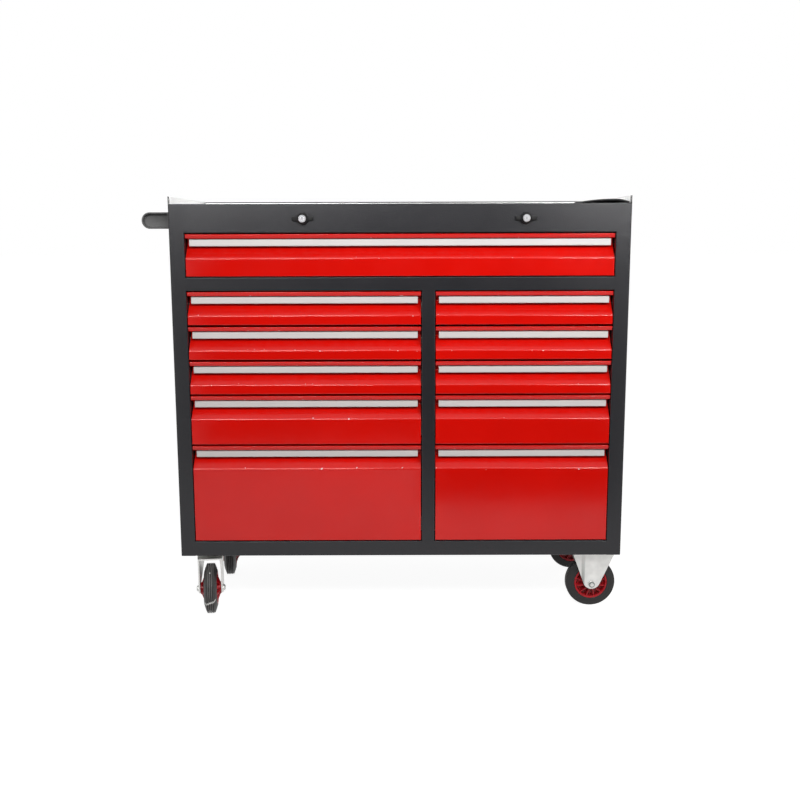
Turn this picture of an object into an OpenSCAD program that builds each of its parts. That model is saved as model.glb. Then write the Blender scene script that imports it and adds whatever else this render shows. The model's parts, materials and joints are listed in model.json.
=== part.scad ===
// Rolling tool cabinet: eleven drawers in a folded steel body, on two swivel and two fixed casters.
// Lengths are in millimetres. The drawers pull out towards -Y, the push handle is at -X and +Z is up.

/* [Body] */
// Depth of the body, front face to rear face
body_d = 458; // [420:1:560]
// Width of the opening of the left, wide bank of drawers
wide_bank_w = 549; // [480:1:640]
// Width of the opening of the right, narrow bank of drawers
narrow_bank_w = 417; // [360:1:520]
// Width of the front face of each side wall
stile_w = 35; // [30:1:45]
// Width of the wall between the two banks
centre_wall_w = 31; // [28:1:45]
// Height of the front face above the top drawer
top_rail_h = 66; // [60:1:80]
// Height of the rail between the top drawer and the banks
mid_rail_h = 31; // [26:1:45]
// Height of the rail below the banks
bottom_rail_h = 36; // [28:1:60]
// How far the side and rear rims stand above the front edge
rim_h = 17; // [12:1:30]
// Height of the folded hem along the top of the rear rim
hem_h = 3; // [2:0.5:5]
// Thickness of the sheet steel of the body and the drawers
sheet = 1; // [0.8:0.1:1.5]
// Centre line radius of the bends on the outer corners of the body
corner_r = 3; // [2:0.5:5]
// Centre line radius of the tight bends
bend_r = 1.4; // [1.2:0.1:2]
// Depth of the returns behind the front rails
rail_return = 20; // [14:1:26]
// Width of the side walls' flanges behind the back panel
rear_flange_w = 18; // [12:1:30]
// Height of the base pan's flange in front of the back panel
rear_flange_h = 25; // [15:1:40]
// Gap between the inner skins and the rear of the body
skin_gap = 20; // [10:1:40]

/* [Worktop] */
// Thickness of the stainless worktop sheet
worktop_t = 1; // [0.8:0.1:2]
// Thickness of the rubber mat
mat_t = 3; // [2:0.5:5]
// Gap between the mat and the rims
mat_margin = 5; // [3:1:12]
// Depth of the flat strip along the front edge, in front of the worktop
front_strip = 16; // [12:1:24]
// Depth of the ledge that carries the front of the worktop
ledge_d = 24; // [14:1:40]

/* [Drawers] */
// Height of the front of the top drawer
top_front_h = 98; // [86:1:140]
// Height of the front of the three shallow drawers in a bank
shallow_front_h = 78; // [72:1:100]
// Height of the front of the fourth drawer in a bank
medium_front_h = 117; // [90:1:160]
// Height of the front of the bottom drawer in a bank
deep_front_h = 234; // [150:1:300]
// Gap between two drawer fronts
front_gap = 4; // [3:0.5:6]
// Gap between a drawer front and the frame around it
edge_gap = 2; // [1.5:0.5:4]
// How far a drawer front lies behind the frame's front face
front_set = 0.8; // [0.4:0.1:2]
// Height of the lip above the pull
lip_h = 10; // [8:1:14]
// Depth of the finger recess
recess_d = 30; // [26:1:36]
// Height from the top of a drawer front down to the crease below the recess
crease_drop = 55.5; // [52:0.5:62]
// Depth of the fold under a drawer front
front_return = 14; // [8:1:20]
// How far the drawer box stays below the top of its front
box_top_drop = 12; // [10:1:20]
// How far the drawer box stays above the bottom of its front
box_lift = 6; // [4:1:10]
// Space between the rear of a drawer box and the rear of the body
rear_space = 33; // [20:1:60]

/* [Pulls] */
// Distance from the top of a drawer front down to the lower edge of its pull
pull_drop = 28; // [24:1:32]
// How far the face of the pull lies behind the drawer front
pull_set = 10; // [7:0.5:13]
// Thickness of the pull's aluminium section
pull_t = 1.4; // [1.2:0.1:2]
// How much shorter the pull is at each end
pull_inset = 7.5; // [4:0.5:15]
// Depth of the turned-in lower edge of the pull
pull_curl = 5; // [4:0.5:6]
// Depth of the pull's upper flange, under the top of the drawer front
pull_flange = 14; // [8:1:15]

/* [Slides] */
// Space at each side of a drawer box for its slide
slide_space = 12.5; // [12:0.5:16]
// Height of the fixed slide channel
channel_h = 36; // [30:1:42]
// Thickness of the slide members
slide_t = 1.2; // [1:0.1:1.5]
// Running gap between the slide members
slide_gap = 0.3; // [0.2:0.05:0.5]
// Gap between the runner's edges and the web of its channel
runner_edge_gap = 0.9; // [0.5:0.1:3]
// Height of the slide's centre line above the bottom of the drawer front
slide_lift = 32; // [28:1:36]
// Distance from the recess of a drawer front to the front end of its slide
slide_setback = 3; // [2:0.5:8]

/* [Locks] */
// Distance of the locks below the top front edge
lock_drop = 34; // [30:1:40]
// Diameter of the round part of a lock knob
knob_d = 27; // [24:0.5:32]
// Length of a lock knob across its wings
knob_w = 48; // [40:1:60]
// Height of the wings of a lock knob
knob_wing_h = 11; // [8:0.5:14]
// How far the round part of a lock knob stands out
knob_l = 14; // [10:0.5:20]
// How far the wings of a lock knob stand out
knob_wing_l = 9; // [6:0.5:10]
// Diameter of the key face of a lock barrel
key_face_d = 17; // [14:0.5:20]
// How far the key face stands out in front of the knob
key_face_out = 1.5; // [0.5:0.5:3]
// Diameter of the lock barrel where it turns in the top rail
barrel_d = 19; // [16:0.5:22]
// Running gap round the lock barrel
barrel_gap = 0.05; // [0.03:0.01:0.09]
// Gap between a lock knob and the top rail
knob_gap = 0.4; // [0.3:0.1:1]
// Depth of the lock barrel behind the front face
barrel_depth = 24; // [20:1:30]
// Length of the lock cam from the barrel's centre
cam_l = 22; // [16:1:25]
// Width of the lock cam
cam_w = 12; // [8:1:16]
// Thickness of the lock cam
cam_t = 2.5; // [2:0.5:4]

/* [Push handle] */
// How far the handle stands out from the side of the body
handle_reach = 68; // [60:1:90]
// Height of the handle's end brackets
bracket_h = 38; // [34:1:50]
// Distance of the handle's centre below the top front edge
handle_drop = 37; // [34:1:60]
// Distance of the bracket's open face from the front and the rear of the body
bracket_inset = 28; // [20:1:60]
// Depth of a handle bracket along the side of the body
bracket_d = 18; // [14:1:30]
// Thickness of the wall of a handle bracket
bracket_wall = 3.5; // [3:0.5:5]
// Diameter of the handle tube
tube_d = 28; // [24:1:32]
// Wall thickness of the handle tube
tube_wall = 2; // [1.5:0.5:3]
// Thickness of the bracket's mounting flange
flange_t = 4; // [3:0.5:6]
// Width of the bracket's mounting flange
flange_w = 40; // [34:1:60]

/* [Casters] */
// Height from the floor to the underside of the body
caster_h = 156; // [150:1:180]
// Diameter of the wheels
wheel_d = 123; // [110:1:130]
// Width of the tyres
tyre_w = 32; // [28:1:36]
// Width of the flat tread of the tyres
tread_w = 18; // [14:1:26]
// Height of the sloped shoulder of the tyres
shoulder_h = 19; // [3:0.5:20]
// Diameter of the seat of the tyre on the rim
rim_d = 82; // [70:1:90]
// Radial thickness of the rim's outer ring
rim_ring = 5; // [4:0.5:7]
// Thickness of the rim's web
rim_web = 6; // [4:0.5:9]
// Number of ribs on each side of a rim
rib_count = 12; // [8:1:16]
// Thickness of the rim's ribs
rib_t = 2.4; // [1.6:0.2:4]
// How far the ribs stay below the edges of the rim's ring
rib_inset = 3; // [1:0.5:6]
// Diameter of the hub
hub_d = 30; // [24:1:36]
// Width of the hub
hub_w = 50; // [44:1:54]
// Side play of the hub between the fork legs
hub_play = 0.6; // [0.4:0.1:0.9]
// Diameter of the axles
axle_d = 10; // [8:0.5:12]
// Running gap round the axles and the kingpins
pin_gap = 0.05; // [0.03:0.01:0.09]
// Number of grooves round the tyre
groove_count = 4; // [2:1:5]
// Depth of the grooves round the tyre
groove_depth = 1.2; // [0.6:0.1:2]
// Width of the grooves round the tyre
groove_w = 1.4; // [1:0.1:2.2]
// Thickness of the fork legs
fork_t = 3.5; // [3:0.5:4]
// Radius of the lower end of a fork leg
fork_end_r = 21; // [12:0.5:24]
// Height of the centre of that round end above the axle
fork_end_rise = 9; // [0:0.5:12]
// Half width of a fork leg at its top, on the side of the crease
fork_top = 46; // [40:1:48]
// Half width of a fork leg at its top, on the other side
fork_top_rear = 53; // [46:1:55]
// Height of the straight upper part of a fork leg
fork_shoulder = 16; // [6:1:24]
// Distance of the crease in a fork leg from the axle
fork_crease = 14; // [10:1:18]
// Angle of the fork leg's bent edge
fork_bend = 12; // [6:1:14]
// Centre line radius of the crease in a fork leg
fork_crease_r = 7; // [4:0.5:12]
// Distance of the caster plate's centre from the side of the body
caster_inset_x = 57; // [54:1:90]
// Distance of the caster plate's centre from the front and the rear of the body
caster_inset_y = 85; // [80:1:110]
// Length of a caster plate along the body
plate_l = 112; // [100:1:114]
// Width of a caster plate
plate_w = 84; // [72:1:90]
// Thickness of a caster plate
plate_t = 4; // [3:0.5:6]
// Distance of a swivel caster's axle from its kingpin
trail = 48; // [34:1:54]
// How far a swivel fork's crown reaches in front of its kingpin
crown_front = 16; // [12:1:24]
// Angle that the swivel wheels are turned from straight ahead
swivel_yaw = 7; // [0:1:30]
// Diameter of a swivel caster's bearing ring
race_d = 64; // [56:1:68]
// Height of a swivel caster's bearing ring
race_h = 9; // [7:0.5:10]
// Diameter of the kingpin
kingpin_d = 14; // [12:0.5:18]
// Diameter of the kingpin's lower head
kingpin_head_d = 24; // [20:1:28]
// Thickness of the kingpin's lower head
kingpin_head_t = 3; // [2:0.5:4]
// Gap between the turning parts of a swivel caster
swivel_gap = 0.4; // [0.3:0.1:0.8]
// Diameter of the bolt heads on the axles
axle_head_d = 15; // [14:0.5:18]
// Thickness of the bolt heads on the axles
axle_head_t = 4; // [3:0.5:7]

/* [Hidden] */
$fn = 48;
BANK = 5;
LEFT_DRAWERS = [for (i = [1:BANK]) str("left_drawer_", i)];
RIGHT_DRAWERS = [for (i = [1:BANK]) str("right_drawer_", i)];
DRAWERS = concat(["top_drawer"], LEFT_DRAWERS, RIGHT_DRAWERS);
CASTERS = ["front_swivel", "rear_swivel", "front_fixed", "rear_fixed"];
LOCKS = ["left_lock", "right_lock"];

// Colours as the finished cabinet shows them
GREY = "#3a3b3d";
RED = "#d4161a";
SILVER = "#d8d8d8";
ZINC = "#c9ccce";
STEEL = "#b9bcc0";
BLACK = "#222224";
RUBBER = "#2b2b2c";
RIM_RED = "#a5161f";

// Openings and levels of the body, with x = 0 in its middle, y = 0 at its front face and z = 0 at the floor
body_w = 2 * stile_w + wide_bank_w + centre_wall_w + narrow_bank_w;
bank_fronts = [shallow_front_h, shallow_front_h, shallow_front_h, medium_front_h, deep_front_h];
bank_open_h = total(bank_fronts) + (BANK - 1) * front_gap + 2 * edge_gap;
top_open_h = top_front_h + 2 * edge_gap;
base_z = caster_h;
bank_z = base_z + bottom_rail_h;
mid_z = bank_z + bank_open_h;
top_open_z = mid_z + mid_rail_h;
top_rail_z = top_open_z + top_open_h;
top_z = top_rail_z + top_rail_h;
rim_z = top_z + rim_h;
left_x = -body_w / 2;
right_x = body_w / 2;
open_left = left_x + stile_w;
open_right = right_x - stile_w;
wall_left = open_left + wide_bank_w;
wall_right = wall_left + centre_wall_w;
worktop_z = top_z - mat_t - worktop_t;
ledge_y = front_strip + ledge_d;
// From the outer face of a fold to the flat of the next face
bend_edge = sheet / 2 + bend_r;
worktop_y0 = front_strip - sheet + bend_edge;
skin_back = body_d - skin_gap;
back_y = body_d - 2 * sheet;

// Drawers: the sides of the opening, the bottom of the front and its height
function bank_drop(i) = edge_gap + total([for (k = [0:i]) bank_fronts[k]]) + i * front_gap;
function bank_row(i, x0, x1) = [x0, x1, mid_z - bank_drop(i), bank_fronts[i]];
top_row = [open_left, open_right, top_open_z + edge_gap, top_front_h];
left_rows = [for (i = [0:BANK - 1]) bank_row(i, open_left, wall_left)];
right_rows = [for (i = [0:BANK - 1]) bank_row(i, wall_right, open_right)];
drawer_rows = concat([top_row], left_rows, right_rows);
recess_back = front_set + recess_d + sheet;
box_back = body_d - rear_space;
slide_y0 = recess_back + slide_setback;
channel_d = slide_space - slide_t - slide_gap;
runner_h = channel_h - 2 * slide_t - 2 * slide_gap;

// Locks, each over the middle of its bank
lock_z = top_z - lock_drop;
lock_xs = [(open_left + wall_left) / 2, (wall_right + open_right) / 2];
shank_front = -knob_gap;

// Casters
wheel_r = wheel_d / 2;
axle_z = wheel_r;
fork_in = hub_w / 2 + hub_play;
fork_out = fork_in + fork_t;
plate_z = base_z - plate_t;
race_z = plate_z - race_h;
crown_z = race_z - swivel_gap;
swivel_turn = swivel_yaw - 90;
swivel_x = left_x + caster_inset_x;
fixed_x = right_x - caster_inset_x;
caster_ys = [caster_inset_y, body_d - caster_inset_y];
wheel_front = caster_inset_y - trail * cos(swivel_yaw) - wheel_r;

// Push handle
handle_z = top_z - handle_drop;
handle_x = left_x - handle_reach + bracket_h / 2;

// General functions
function total(v, i = 0) = i < len(v) ? v[i] + total(v, i + 1) : 0;
function unit(v) = v / norm(v);
function left_of(v) = [-v[1], v[0]];
function turned(v, a) = [v[0] * cos(a) - v[1] * sin(a), v[0] * sin(a) + v[1] * cos(a)];
function radius_at(r, i) = is_list(r) ? r[i - 1] : r;

// Points round one bend of a folded strip, s to the left of its centre line
function bend_points(a, b, c, s, r, steps = 5) =
    let(u = unit(b - a), v = unit(c - b))
    let(turn = atan2(u[0] * v[1] - u[1] * v[0], u * v), side = sign(turn))
    let(centre = b - u * r * tan(abs(turn) / 2) + left_of(u) * r * side)
    [for (k = [0:steps]) centre + turned(-left_of(u) * side, turn * k / steps) * (r - side * s)];

// One side of a folded strip, s to the left of the centre line
function strip_side(path, s, r) =
    let(last = len(path) - 1)
    concat(
        [path[0] + left_of(unit(path[1] - path[0])) * s],
        [for (i = [1:1:last - 1]) each bend_points(path[i - 1], path[i], path[i + 1], s, radius_at(r, i))],
        [path[last] + left_of(unit(path[last] - path[last - 1])) * s]);

function reversed(v) = [for (i = [len(v) - 1:-1:0]) v[i]];

// Outline of a strip of thickness t that is folded along a centre line, with bend radius r
module folded(path, t, r) {
    polygon(concat(strip_side(path, t / 2, r), reversed(strip_side(path, -t / 2, r))));
}

// A section drawn in [y, z], run along X
module along_x(x0, x1) {
    translate([x0, 0, 0]) rotate([90, 0, 90]) linear_extrude(x1 - x0) children();
}

// A section drawn in [x, z], run along Y
module along_y(y0, y1) {
    translate([0, y1, 0]) rotate([90, 0, 0]) linear_extrude(y1 - y0) children();
}

module block(low, high) {
    translate(low) cube(high - low);
}

// Round bar along Y
module bar_y(d, y0, y1) {
    along_y(y0, y1) circle(d = d);
}

// Moves the body's own frame so that the origin is under the middle of the whole cabinet
module at_origin() {
    translate([handle_reach / 2, -(body_d + wheel_front) / 2, 0]) children();
}

// Body

// Left side wall: outer skin, front face and inner skin in one fold
// The rim stands up from the outer skin
module side_wall() {
    inner_x = open_left - sheet / 2;
    outer_x = left_x + sheet / 2;
    rear_y = body_d - sheet / 2;
    plan = [[inner_x, skin_back], [inner_x, sheet / 2], [outer_x, sheet / 2], [outer_x, rear_y],
            [left_x + rear_flange_w, rear_y]];
    cut_x0 = left_x + sheet;
    cut_x1 = open_left + 1;
    cut_back = body_d - sheet;
    difference() {
        translate([0, 0, base_z])
            linear_extrude(top_z - base_z) folded(plan, sheet, [bend_r, corner_r, bend_r]);
        // Room for the floor of the base pan
        block([cut_x0, sheet + corner_r, base_z - 1], [cut_x1, cut_back, base_z + sheet]);
        // Room for the worktop, its ledge and the front strip
        block([cut_x0, sheet, worktop_z - sheet], [cut_x1, cut_back, top_z + 1]);
    }
    block([left_x, corner_r, top_z - sheet], [left_x + sheet, body_d, rim_z]);
}

module left_side_panel() {
    color(GREY) side_wall();
}

module right_side_panel() {
    color(GREY) mirror([1, 0, 0]) side_wall();
}

module back_panel() {
    half_w = body_w / 2 - bend_edge;
    hem_half_w = body_w / 2 - sheet - worktop_t;
    rear_y = back_y + sheet;
    color(GREY) {
        block([-half_w, back_y, base_z], [half_w, rear_y, rim_z]);
        block([-hem_half_w, back_y - worktop_t, rim_z - hem_h], [hem_half_w, rear_y, rim_z]);
    }
}

// Floor with the bottom rail folded up in front and a flange behind
module base_pan() {
    floor_z = base_z + sheet / 2;
    flange_y = back_y - sheet / 2;
    rear = [[flange_y, base_z + rear_flange_h], [flange_y, floor_z]];
    front = [[sheet / 2, floor_z], [sheet / 2, bank_z - sheet / 2], [rail_return, bank_z - sheet / 2]];
    color(GREY) {
        along_x(open_left, open_right) folded(concat(rear, front), sheet, bend_r);
        along_x(left_x + sheet, right_x - sheet)
            folded(concat(rear, [[sheet + corner_r, floor_z]]), sheet, bend_r);
    }
}

// Top rail: front face, flat front strip and the ledge under the worktop, with a hole for each lock
module top_rail() {
    front_y = sheet / 2;
    strip_z = top_z - sheet / 2;
    step_y = front_strip - sheet / 2;
    ledge = [[step_y, strip_z], [step_y, worktop_z - sheet / 2], [ledge_y, worktop_z - sheet / 2]];
    face = [[rail_return, top_rail_z + sheet / 2], [front_y, top_rail_z + sheet / 2], [front_y, strip_z]];
    over_side = left_x + sheet + corner_r;
    color(GREY) difference() {
        union() {
            along_x(open_left, open_right) folded(concat(face, ledge), sheet, bend_r);
            along_x(over_side, -over_side) folded(concat([[sheet, strip_z]], ledge), sheet, bend_r);
        }
        for (x = lock_xs)
            translate([x, 0, lock_z]) bar_y(barrel_d + 2 * barrel_gap, -1, sheet + 1);
    }
}

module mid_rail() {
    low_z = mid_z + sheet / 2;
    high_z = top_open_z - sheet / 2;
    front_y = sheet / 2;
    section = [[rail_return, low_z], [front_y, low_z], [front_y, high_z], [rail_return, high_z]];
    color(GREY) along_x(open_left, open_right) folded(section, sheet, bend_r);
}

// Double wall between the banks, standing on the floor behind the bottom rail
module centre_partition() {
    x0 = wall_left + sheet / 2;
    x1 = wall_right - sheet / 2;
    plan = [[x0, skin_back], [x0, sheet / 2], [x1, sheet / 2], [x1, skin_back]];
    color(GREY) {
        translate([0, 0, bank_z]) linear_extrude(mid_z - bank_z) folded(plan, sheet, bend_r);
        for (x = [wall_left, wall_right - sheet])
            block([x, rail_return + sheet, base_z + sheet], [x + sheet, skin_back, bank_z]);
    }
}

// Stainless tray between the rims, open at the front
module worktop() {
    x0 = left_x + sheet;
    x1 = right_x - sheet;
    color(STEEL) {
        block([x0, worktop_y0, worktop_z], [x1, back_y, worktop_z + worktop_t]);
        block([x0, worktop_y0, worktop_z], [x0 + worktop_t, back_y, rim_z]);
        block([x1 - worktop_t, worktop_y0, worktop_z], [x1, back_y, rim_z]);
        block([x0, back_y - worktop_t, worktop_z], [x1, back_y, rim_z - hem_h]);
    }
}

module worktop_mat() {
    inset = sheet + worktop_t + mat_margin;
    low = [left_x + inset, front_strip + mat_margin, worktop_z + worktop_t];
    high = [right_x - inset, back_y - worktop_t - mat_margin, top_z];
    color(RUBBER) block(low, high);
}

// Slides

// Section of the left slide channel, open towards the drawer
module channel_section(x, z) {
    arm_x = x + channel_d;
    web_x = x + slide_t / 2;
    arm_z = channel_h / 2 - slide_t / 2;
    folded([[arm_x, z + arm_z], [web_x, z + arm_z], [web_x, z - arm_z], [arm_x, z - arm_z]], slide_t, bend_r);
}

// Section of the left runner, nested in its channel and fixed to the drawer box
module runner_section(x, z) {
    arm_x = x + slide_t + runner_edge_gap;
    web_x = x + slide_space - slide_t / 2;
    arm_z = runner_h / 2 - slide_t / 2;
    folded([[arm_x, z + arm_z], [web_x, z + arm_z], [web_x, z - arm_z], [arm_x, z - arm_z]], slide_t, bend_r);
}

// Draws its child for the left side of a drawer and mirrored for the right side
module both_sides(row) {
    children();
    translate([row[0] + row[1], 0, 0]) mirror([1, 0, 0]) children();
}

module slide_channels() {
    color(ZINC)
        for (row = drawer_rows)
            both_sides(row) along_y(slide_y0, box_back) channel_section(row[0], row[2] + slide_lift);
}

module drawer_runners(row) {
    color(ZINC)
        both_sides(row) along_y(slide_y0, box_back) runner_section(row[0], row[2] + slide_lift);
}

// Drawers

// Folded front: lip, recess, slope and face
module front_section(h) {
    y0 = front_set + sheet / 2;
    y1 = recess_back - sheet / 2;
    crease_z = h - crease_drop;
    folded([[y0, h - lip_h], [y0, h - sheet / 2], [y1, h - sheet / 2], [y1, crease_z + y1 - y0],
            [y0, crease_z], [y0, sheet / 2], [front_set + front_return, sheet / 2]], sheet, bend_r);
}

// Closed end of the front, below the slope
module front_end_section(h) {
    y0 = front_set + sheet / 2;
    y1 = front_set + front_return;
    crease_z = h - crease_drop;
    polygon([[y0, sheet / 2], [y1, sheet / 2], [y1, crease_z + y1 - y0], [y0, crease_z]]);
}

module drawer_box(row) {
    x0 = row[0] + edge_gap;
    x1 = row[1] - edge_gap;
    h = row[3];
    low = [row[0] + slide_space, recess_back, box_lift];
    high = [row[1] - slide_space, box_back, h - box_top_drop];
    wall = [sheet, sheet, sheet];
    color(RED) translate([0, 0, row[2]]) {
        along_x(x0, x1) front_section(h);
        along_x(x0, x0 + sheet) front_end_section(h);
        along_x(x1 - sheet, x1) front_end_section(h);
        difference() {
            block(low, high);
            block(low + wall, [high[0] - sheet, high[1] - sheet, high[2] + 1]);
        }
    }
}

// Aluminium pull: a flange under the top of the front, the face and a turned-in lower edge
module drawer_pull(row) {
    y0 = front_set + pull_set + pull_t / 2;
    top = row[3] - sheet - pull_t / 2;
    low = row[3] - pull_drop + pull_t / 2;
    flange_y = front_set + pull_set + pull_flange;
    section = [[flange_y, top], [y0, top], [y0, low], [y0 + pull_curl, low]];
    end = edge_gap + pull_inset;
    color(SILVER) translate([0, 0, row[2]])
        along_x(row[0] + end, row[1] - end) folded(section, pull_t, bend_r);
}

// Locks

// Winged knob, with a bore for the barrel
module lock_knob(x) {
    wing_back = shank_front;
    color(BLACK) translate([x, 0, lock_z]) difference() {
        union() {
            bar_y(knob_d, shank_front - knob_l, shank_front);
            along_y(wing_back - knob_wing_l, wing_back) {
                square([knob_w - knob_wing_h, knob_wing_h], center = true);
                for (s = [-1, 1])
                    translate([s * (knob_w - knob_wing_h) / 2, 0]) circle(d = knob_wing_h);
            }
        }
        bar_y(key_face_d + 2 * barrel_gap, shank_front - knob_l - 1, shank_front + 1);
    }
}

// Key face, shank and cam, which turn together
module lock_barrel(x) {
    cam_y = barrel_depth - cam_t;
    color(STEEL) translate([x, 0, lock_z]) {
        bar_y(key_face_d, shank_front - knob_l - key_face_out, shank_front);
        bar_y(barrel_d, shank_front, barrel_depth);
        block([0, cam_y, -cam_w / 2], [cam_l, barrel_depth, cam_w / 2]);
    }
}

// Push handle

// Half-round plate in [x, z] that runs from the handle's round end to x_end
module bracket_outline(r, x_end) {
    translate([handle_x, handle_z]) circle(r = r);
    polygon([[handle_x, handle_z - r], [x_end, handle_z - r], [x_end, handle_z + r], [handle_x, handle_z + r]]);
}

// Cup-shaped bracket with its open face at y = 0 and its floor behind
module handle_bracket() {
    difference() {
        along_y(0, bracket_d) bracket_outline(bracket_h / 2, left_x);
        along_y(-1, bracket_d - bracket_wall)
            bracket_outline(bracket_h / 2 - bracket_wall, left_x - flange_t - bracket_wall);
    }
    block([left_x - flange_t, 0, handle_z - bracket_h / 2], [left_x, flange_w, handle_z + bracket_h / 2]);
}

module push_handle() {
    tube_y0 = bracket_inset + bracket_d;
    tube_y1 = body_d - bracket_inset - bracket_d;
    color(BLACK) {
        translate([0, bracket_inset, 0]) handle_bracket();
        translate([0, body_d - bracket_inset, 0]) mirror([0, 1, 0]) handle_bracket();
        translate([handle_x, 0, handle_z]) difference() {
            bar_y(tube_d, tube_y0, tube_y1);
            bar_y(tube_d - 2 * tube_wall, tube_y0 + tube_wall, tube_y1 - tube_wall);
        }
    }
}

// Casters, each in its own frame: kingpin or plate centre at x = y = 0, wheel rolling along X

// Point where a line from p touches a circle, on its right or left side
function touch_point(p, centre, r, side) =
    let(v = p - centre, a = acos(r / norm(v)))
    centre + turned(unit(v), side * a) * r;

// Side view of a fork leg in [x, z]: straight at the top, tapered below, with a round lower end
module leg_outline(axle_x, top, x0, x1) {
    end = [axle_x, axle_z + fork_end_rise];
    shoulder = top - fork_shoulder;
    polygon([[x0, top], [x0, shoulder], touch_point([x0, shoulder], end, fork_end_r, 1), end,
             touch_point([x1, shoulder], end, fork_end_r, -1), [x1, shoulder], [x1, top]]);
    translate(end) circle(r = fork_end_r);
}

// One leg of a fork: the tapered plate with its leading edge bent in along a crease
module fork_leg(axle_x, top, x0, x1) {
    crease_x = axle_x - fork_crease;
    mid_y = -(fork_in + fork_t / 2);
    edge = [crease_x, mid_y] + turned([-1, 0], -fork_bend) * 2 * fork_top;
    intersection() {
        linear_extrude(top) folded([edge, [crease_x, mid_y], [x1 + 1, mid_y]], fork_t, fork_crease_r);
        along_y(-fork_out - 1, 0) leg_outline(axle_x, top, x0, x1);
    }
}

// Both legs with the axle bolt through them
module fork_legs(axle_x, top, x0, x1) {
    fork_leg(axle_x, top, x0, x1);
    mirror([0, 1, 0]) fork_leg(axle_x, top, x0, x1);
    translate([axle_x, 0, axle_z]) {
        bar_y(axle_d, -fork_out, fork_out);
        for (s = [0, 1])
            mirror([0, s, 0]) bar_y(axle_head_d, fork_out, fork_out + axle_head_t);
    }
}

module fixed_fork() {
    block([-plate_l / 2, -plate_w / 2, plate_z], [plate_l / 2, plate_w / 2, base_z]);
    fork_legs(0, plate_z, -fork_top, fork_top_rear);
}

// Plate bolted to the body, with the bearing ring and the kingpin
module swivel_plate() {
    head_top = crown_z - fork_t - swivel_gap;
    block([-plate_w / 2, -plate_l / 2, plate_z], [plate_w / 2, plate_l / 2, base_z]);
    translate([0, 0, race_z]) cylinder(d = race_d, h = race_h);
    translate([0, 0, head_top]) cylinder(d = kingpin_d, h = race_z - head_top);
    translate([0, 0, head_top - kingpin_head_t]) cylinder(d = kingpin_head_d, h = kingpin_head_t);
}

// Crown with the kingpin's bore, and two legs that trail behind it
module swivel_fork() {
    rear_x = trail + fork_end_r;
    difference() {
        union() {
            translate([0, 0, crown_z - fork_t]) cylinder(d = race_d, h = fork_t);
            block([-crown_front, -fork_out, crown_z - fork_t], [rear_x, fork_out, crown_z]);
            fork_legs(trail, crown_z, -crown_front, rear_x);
        }
        translate([0, 0, crown_z - fork_t - 1]) cylinder(d = kingpin_d + 2 * pin_gap, h = fork_t + 2);
    }
}

// Half section of a tyre in [radius, width], with grooves round the tread
module tyre_section() {
    half = tyre_w / 2;
    tread = tread_w / 2;
    side = [[rim_d / 2, half], [wheel_r - shoulder_h, half], [wheel_r, tread]];
    other_side = [for (p = reversed(side)) [p[0], -p[1]]];
    pitch = tread_w / groove_count;
    difference() {
        polygon(concat(side, other_side));
        for (i = [0:groove_count - 1])
            translate([wheel_r - groove_depth, (i - (groove_count - 1) / 2) * pitch - groove_w / 2])
                square([groove_depth + 1, groove_w]);
    }
}

module wheel_tyre() {
    color(RUBBER) rotate([90, 0, 0]) rotate_extrude() tyre_section();
}

// Moulded rim: outer ring, web, hub with its bore, and ribs on both sides of the web
module wheel_rim() {
    ring_in = rim_d / 2 - rim_ring;
    rib_w = tyre_w - 2 * rib_inset;
    rib_in = hub_d / 2 - 1;
    color(RIM_RED) difference() {
        union() {
            bar_y(hub_d, -hub_w / 2, hub_w / 2);
            bar_y(rim_d - rim_ring, -rim_web / 2, rim_web / 2);
            difference() {
                bar_y(rim_d, -tyre_w / 2, tyre_w / 2);
                bar_y(2 * ring_in, -tyre_w / 2 - 1, tyre_w / 2 + 1);
            }
            for (i = [0:rib_count - 1])
                rotate([0, i * 360 / rib_count, 0])
                    block([rib_in, -rib_w / 2, -rib_t / 2], [ring_in + 1, rib_w / 2, rib_t / 2]);
        }
        bar_y(axle_d + 2 * pin_gap, -hub_w, hub_w);
    }
}

// Puts a caster's own frame in its place: 0 and 1 are the swivel casters, 2 and 3 the fixed ones
module at_caster(i) {
    x = i < 2 ? swivel_x : fixed_x;
    translate([x, caster_ys[i % 2], 0]) rotate([0, 0, i < 2 ? swivel_turn : 0]) children();
}

// Puts a wheel's own frame at its axle
module at_axle(i) {
    at_caster(i) translate([i < 2 ? trail : 0, 0, axle_z]) children();
}

module caster_plates() {
    color(ZINC)
        for (y = caster_ys)
            translate([swivel_x, y, 0]) swivel_plate();
}

module fixed_forks() {
    color(ZINC)
        for (i = [2, 3])
            at_caster(i) fixed_fork();
}

at_origin() {
    left_side_panel();
    right_side_panel();
    back_panel();
    base_pan();
    top_rail();
    mid_rail();
    centre_partition();
    worktop();
    worktop_mat();
    slide_channels();
    push_handle();
    caster_plates();
    fixed_forks();
    color(ZINC) at_caster(0) swivel_fork();  // front_swivel_fork
    color(ZINC) at_caster(1) swivel_fork();  // rear_swivel_fork
    for (i = [0:len(CASTERS) - 1]) {
        at_axle(i) wheel_tyre();
        at_axle(i) wheel_rim();
    }
    for (i = [0:len(LOCKS) - 1]) {
        lock_knob(lock_xs[i]);
        lock_barrel(lock_xs[i]);
    }
    for (i = [0:len(DRAWERS) - 1]) {
        drawer_box(drawer_rows[i]);
        drawer_pull(drawer_rows[i]);
        drawer_runners(drawer_rows[i]);
    }
}
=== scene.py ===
"""Finished pieces of the rolling tool cabinet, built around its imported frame."""

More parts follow.
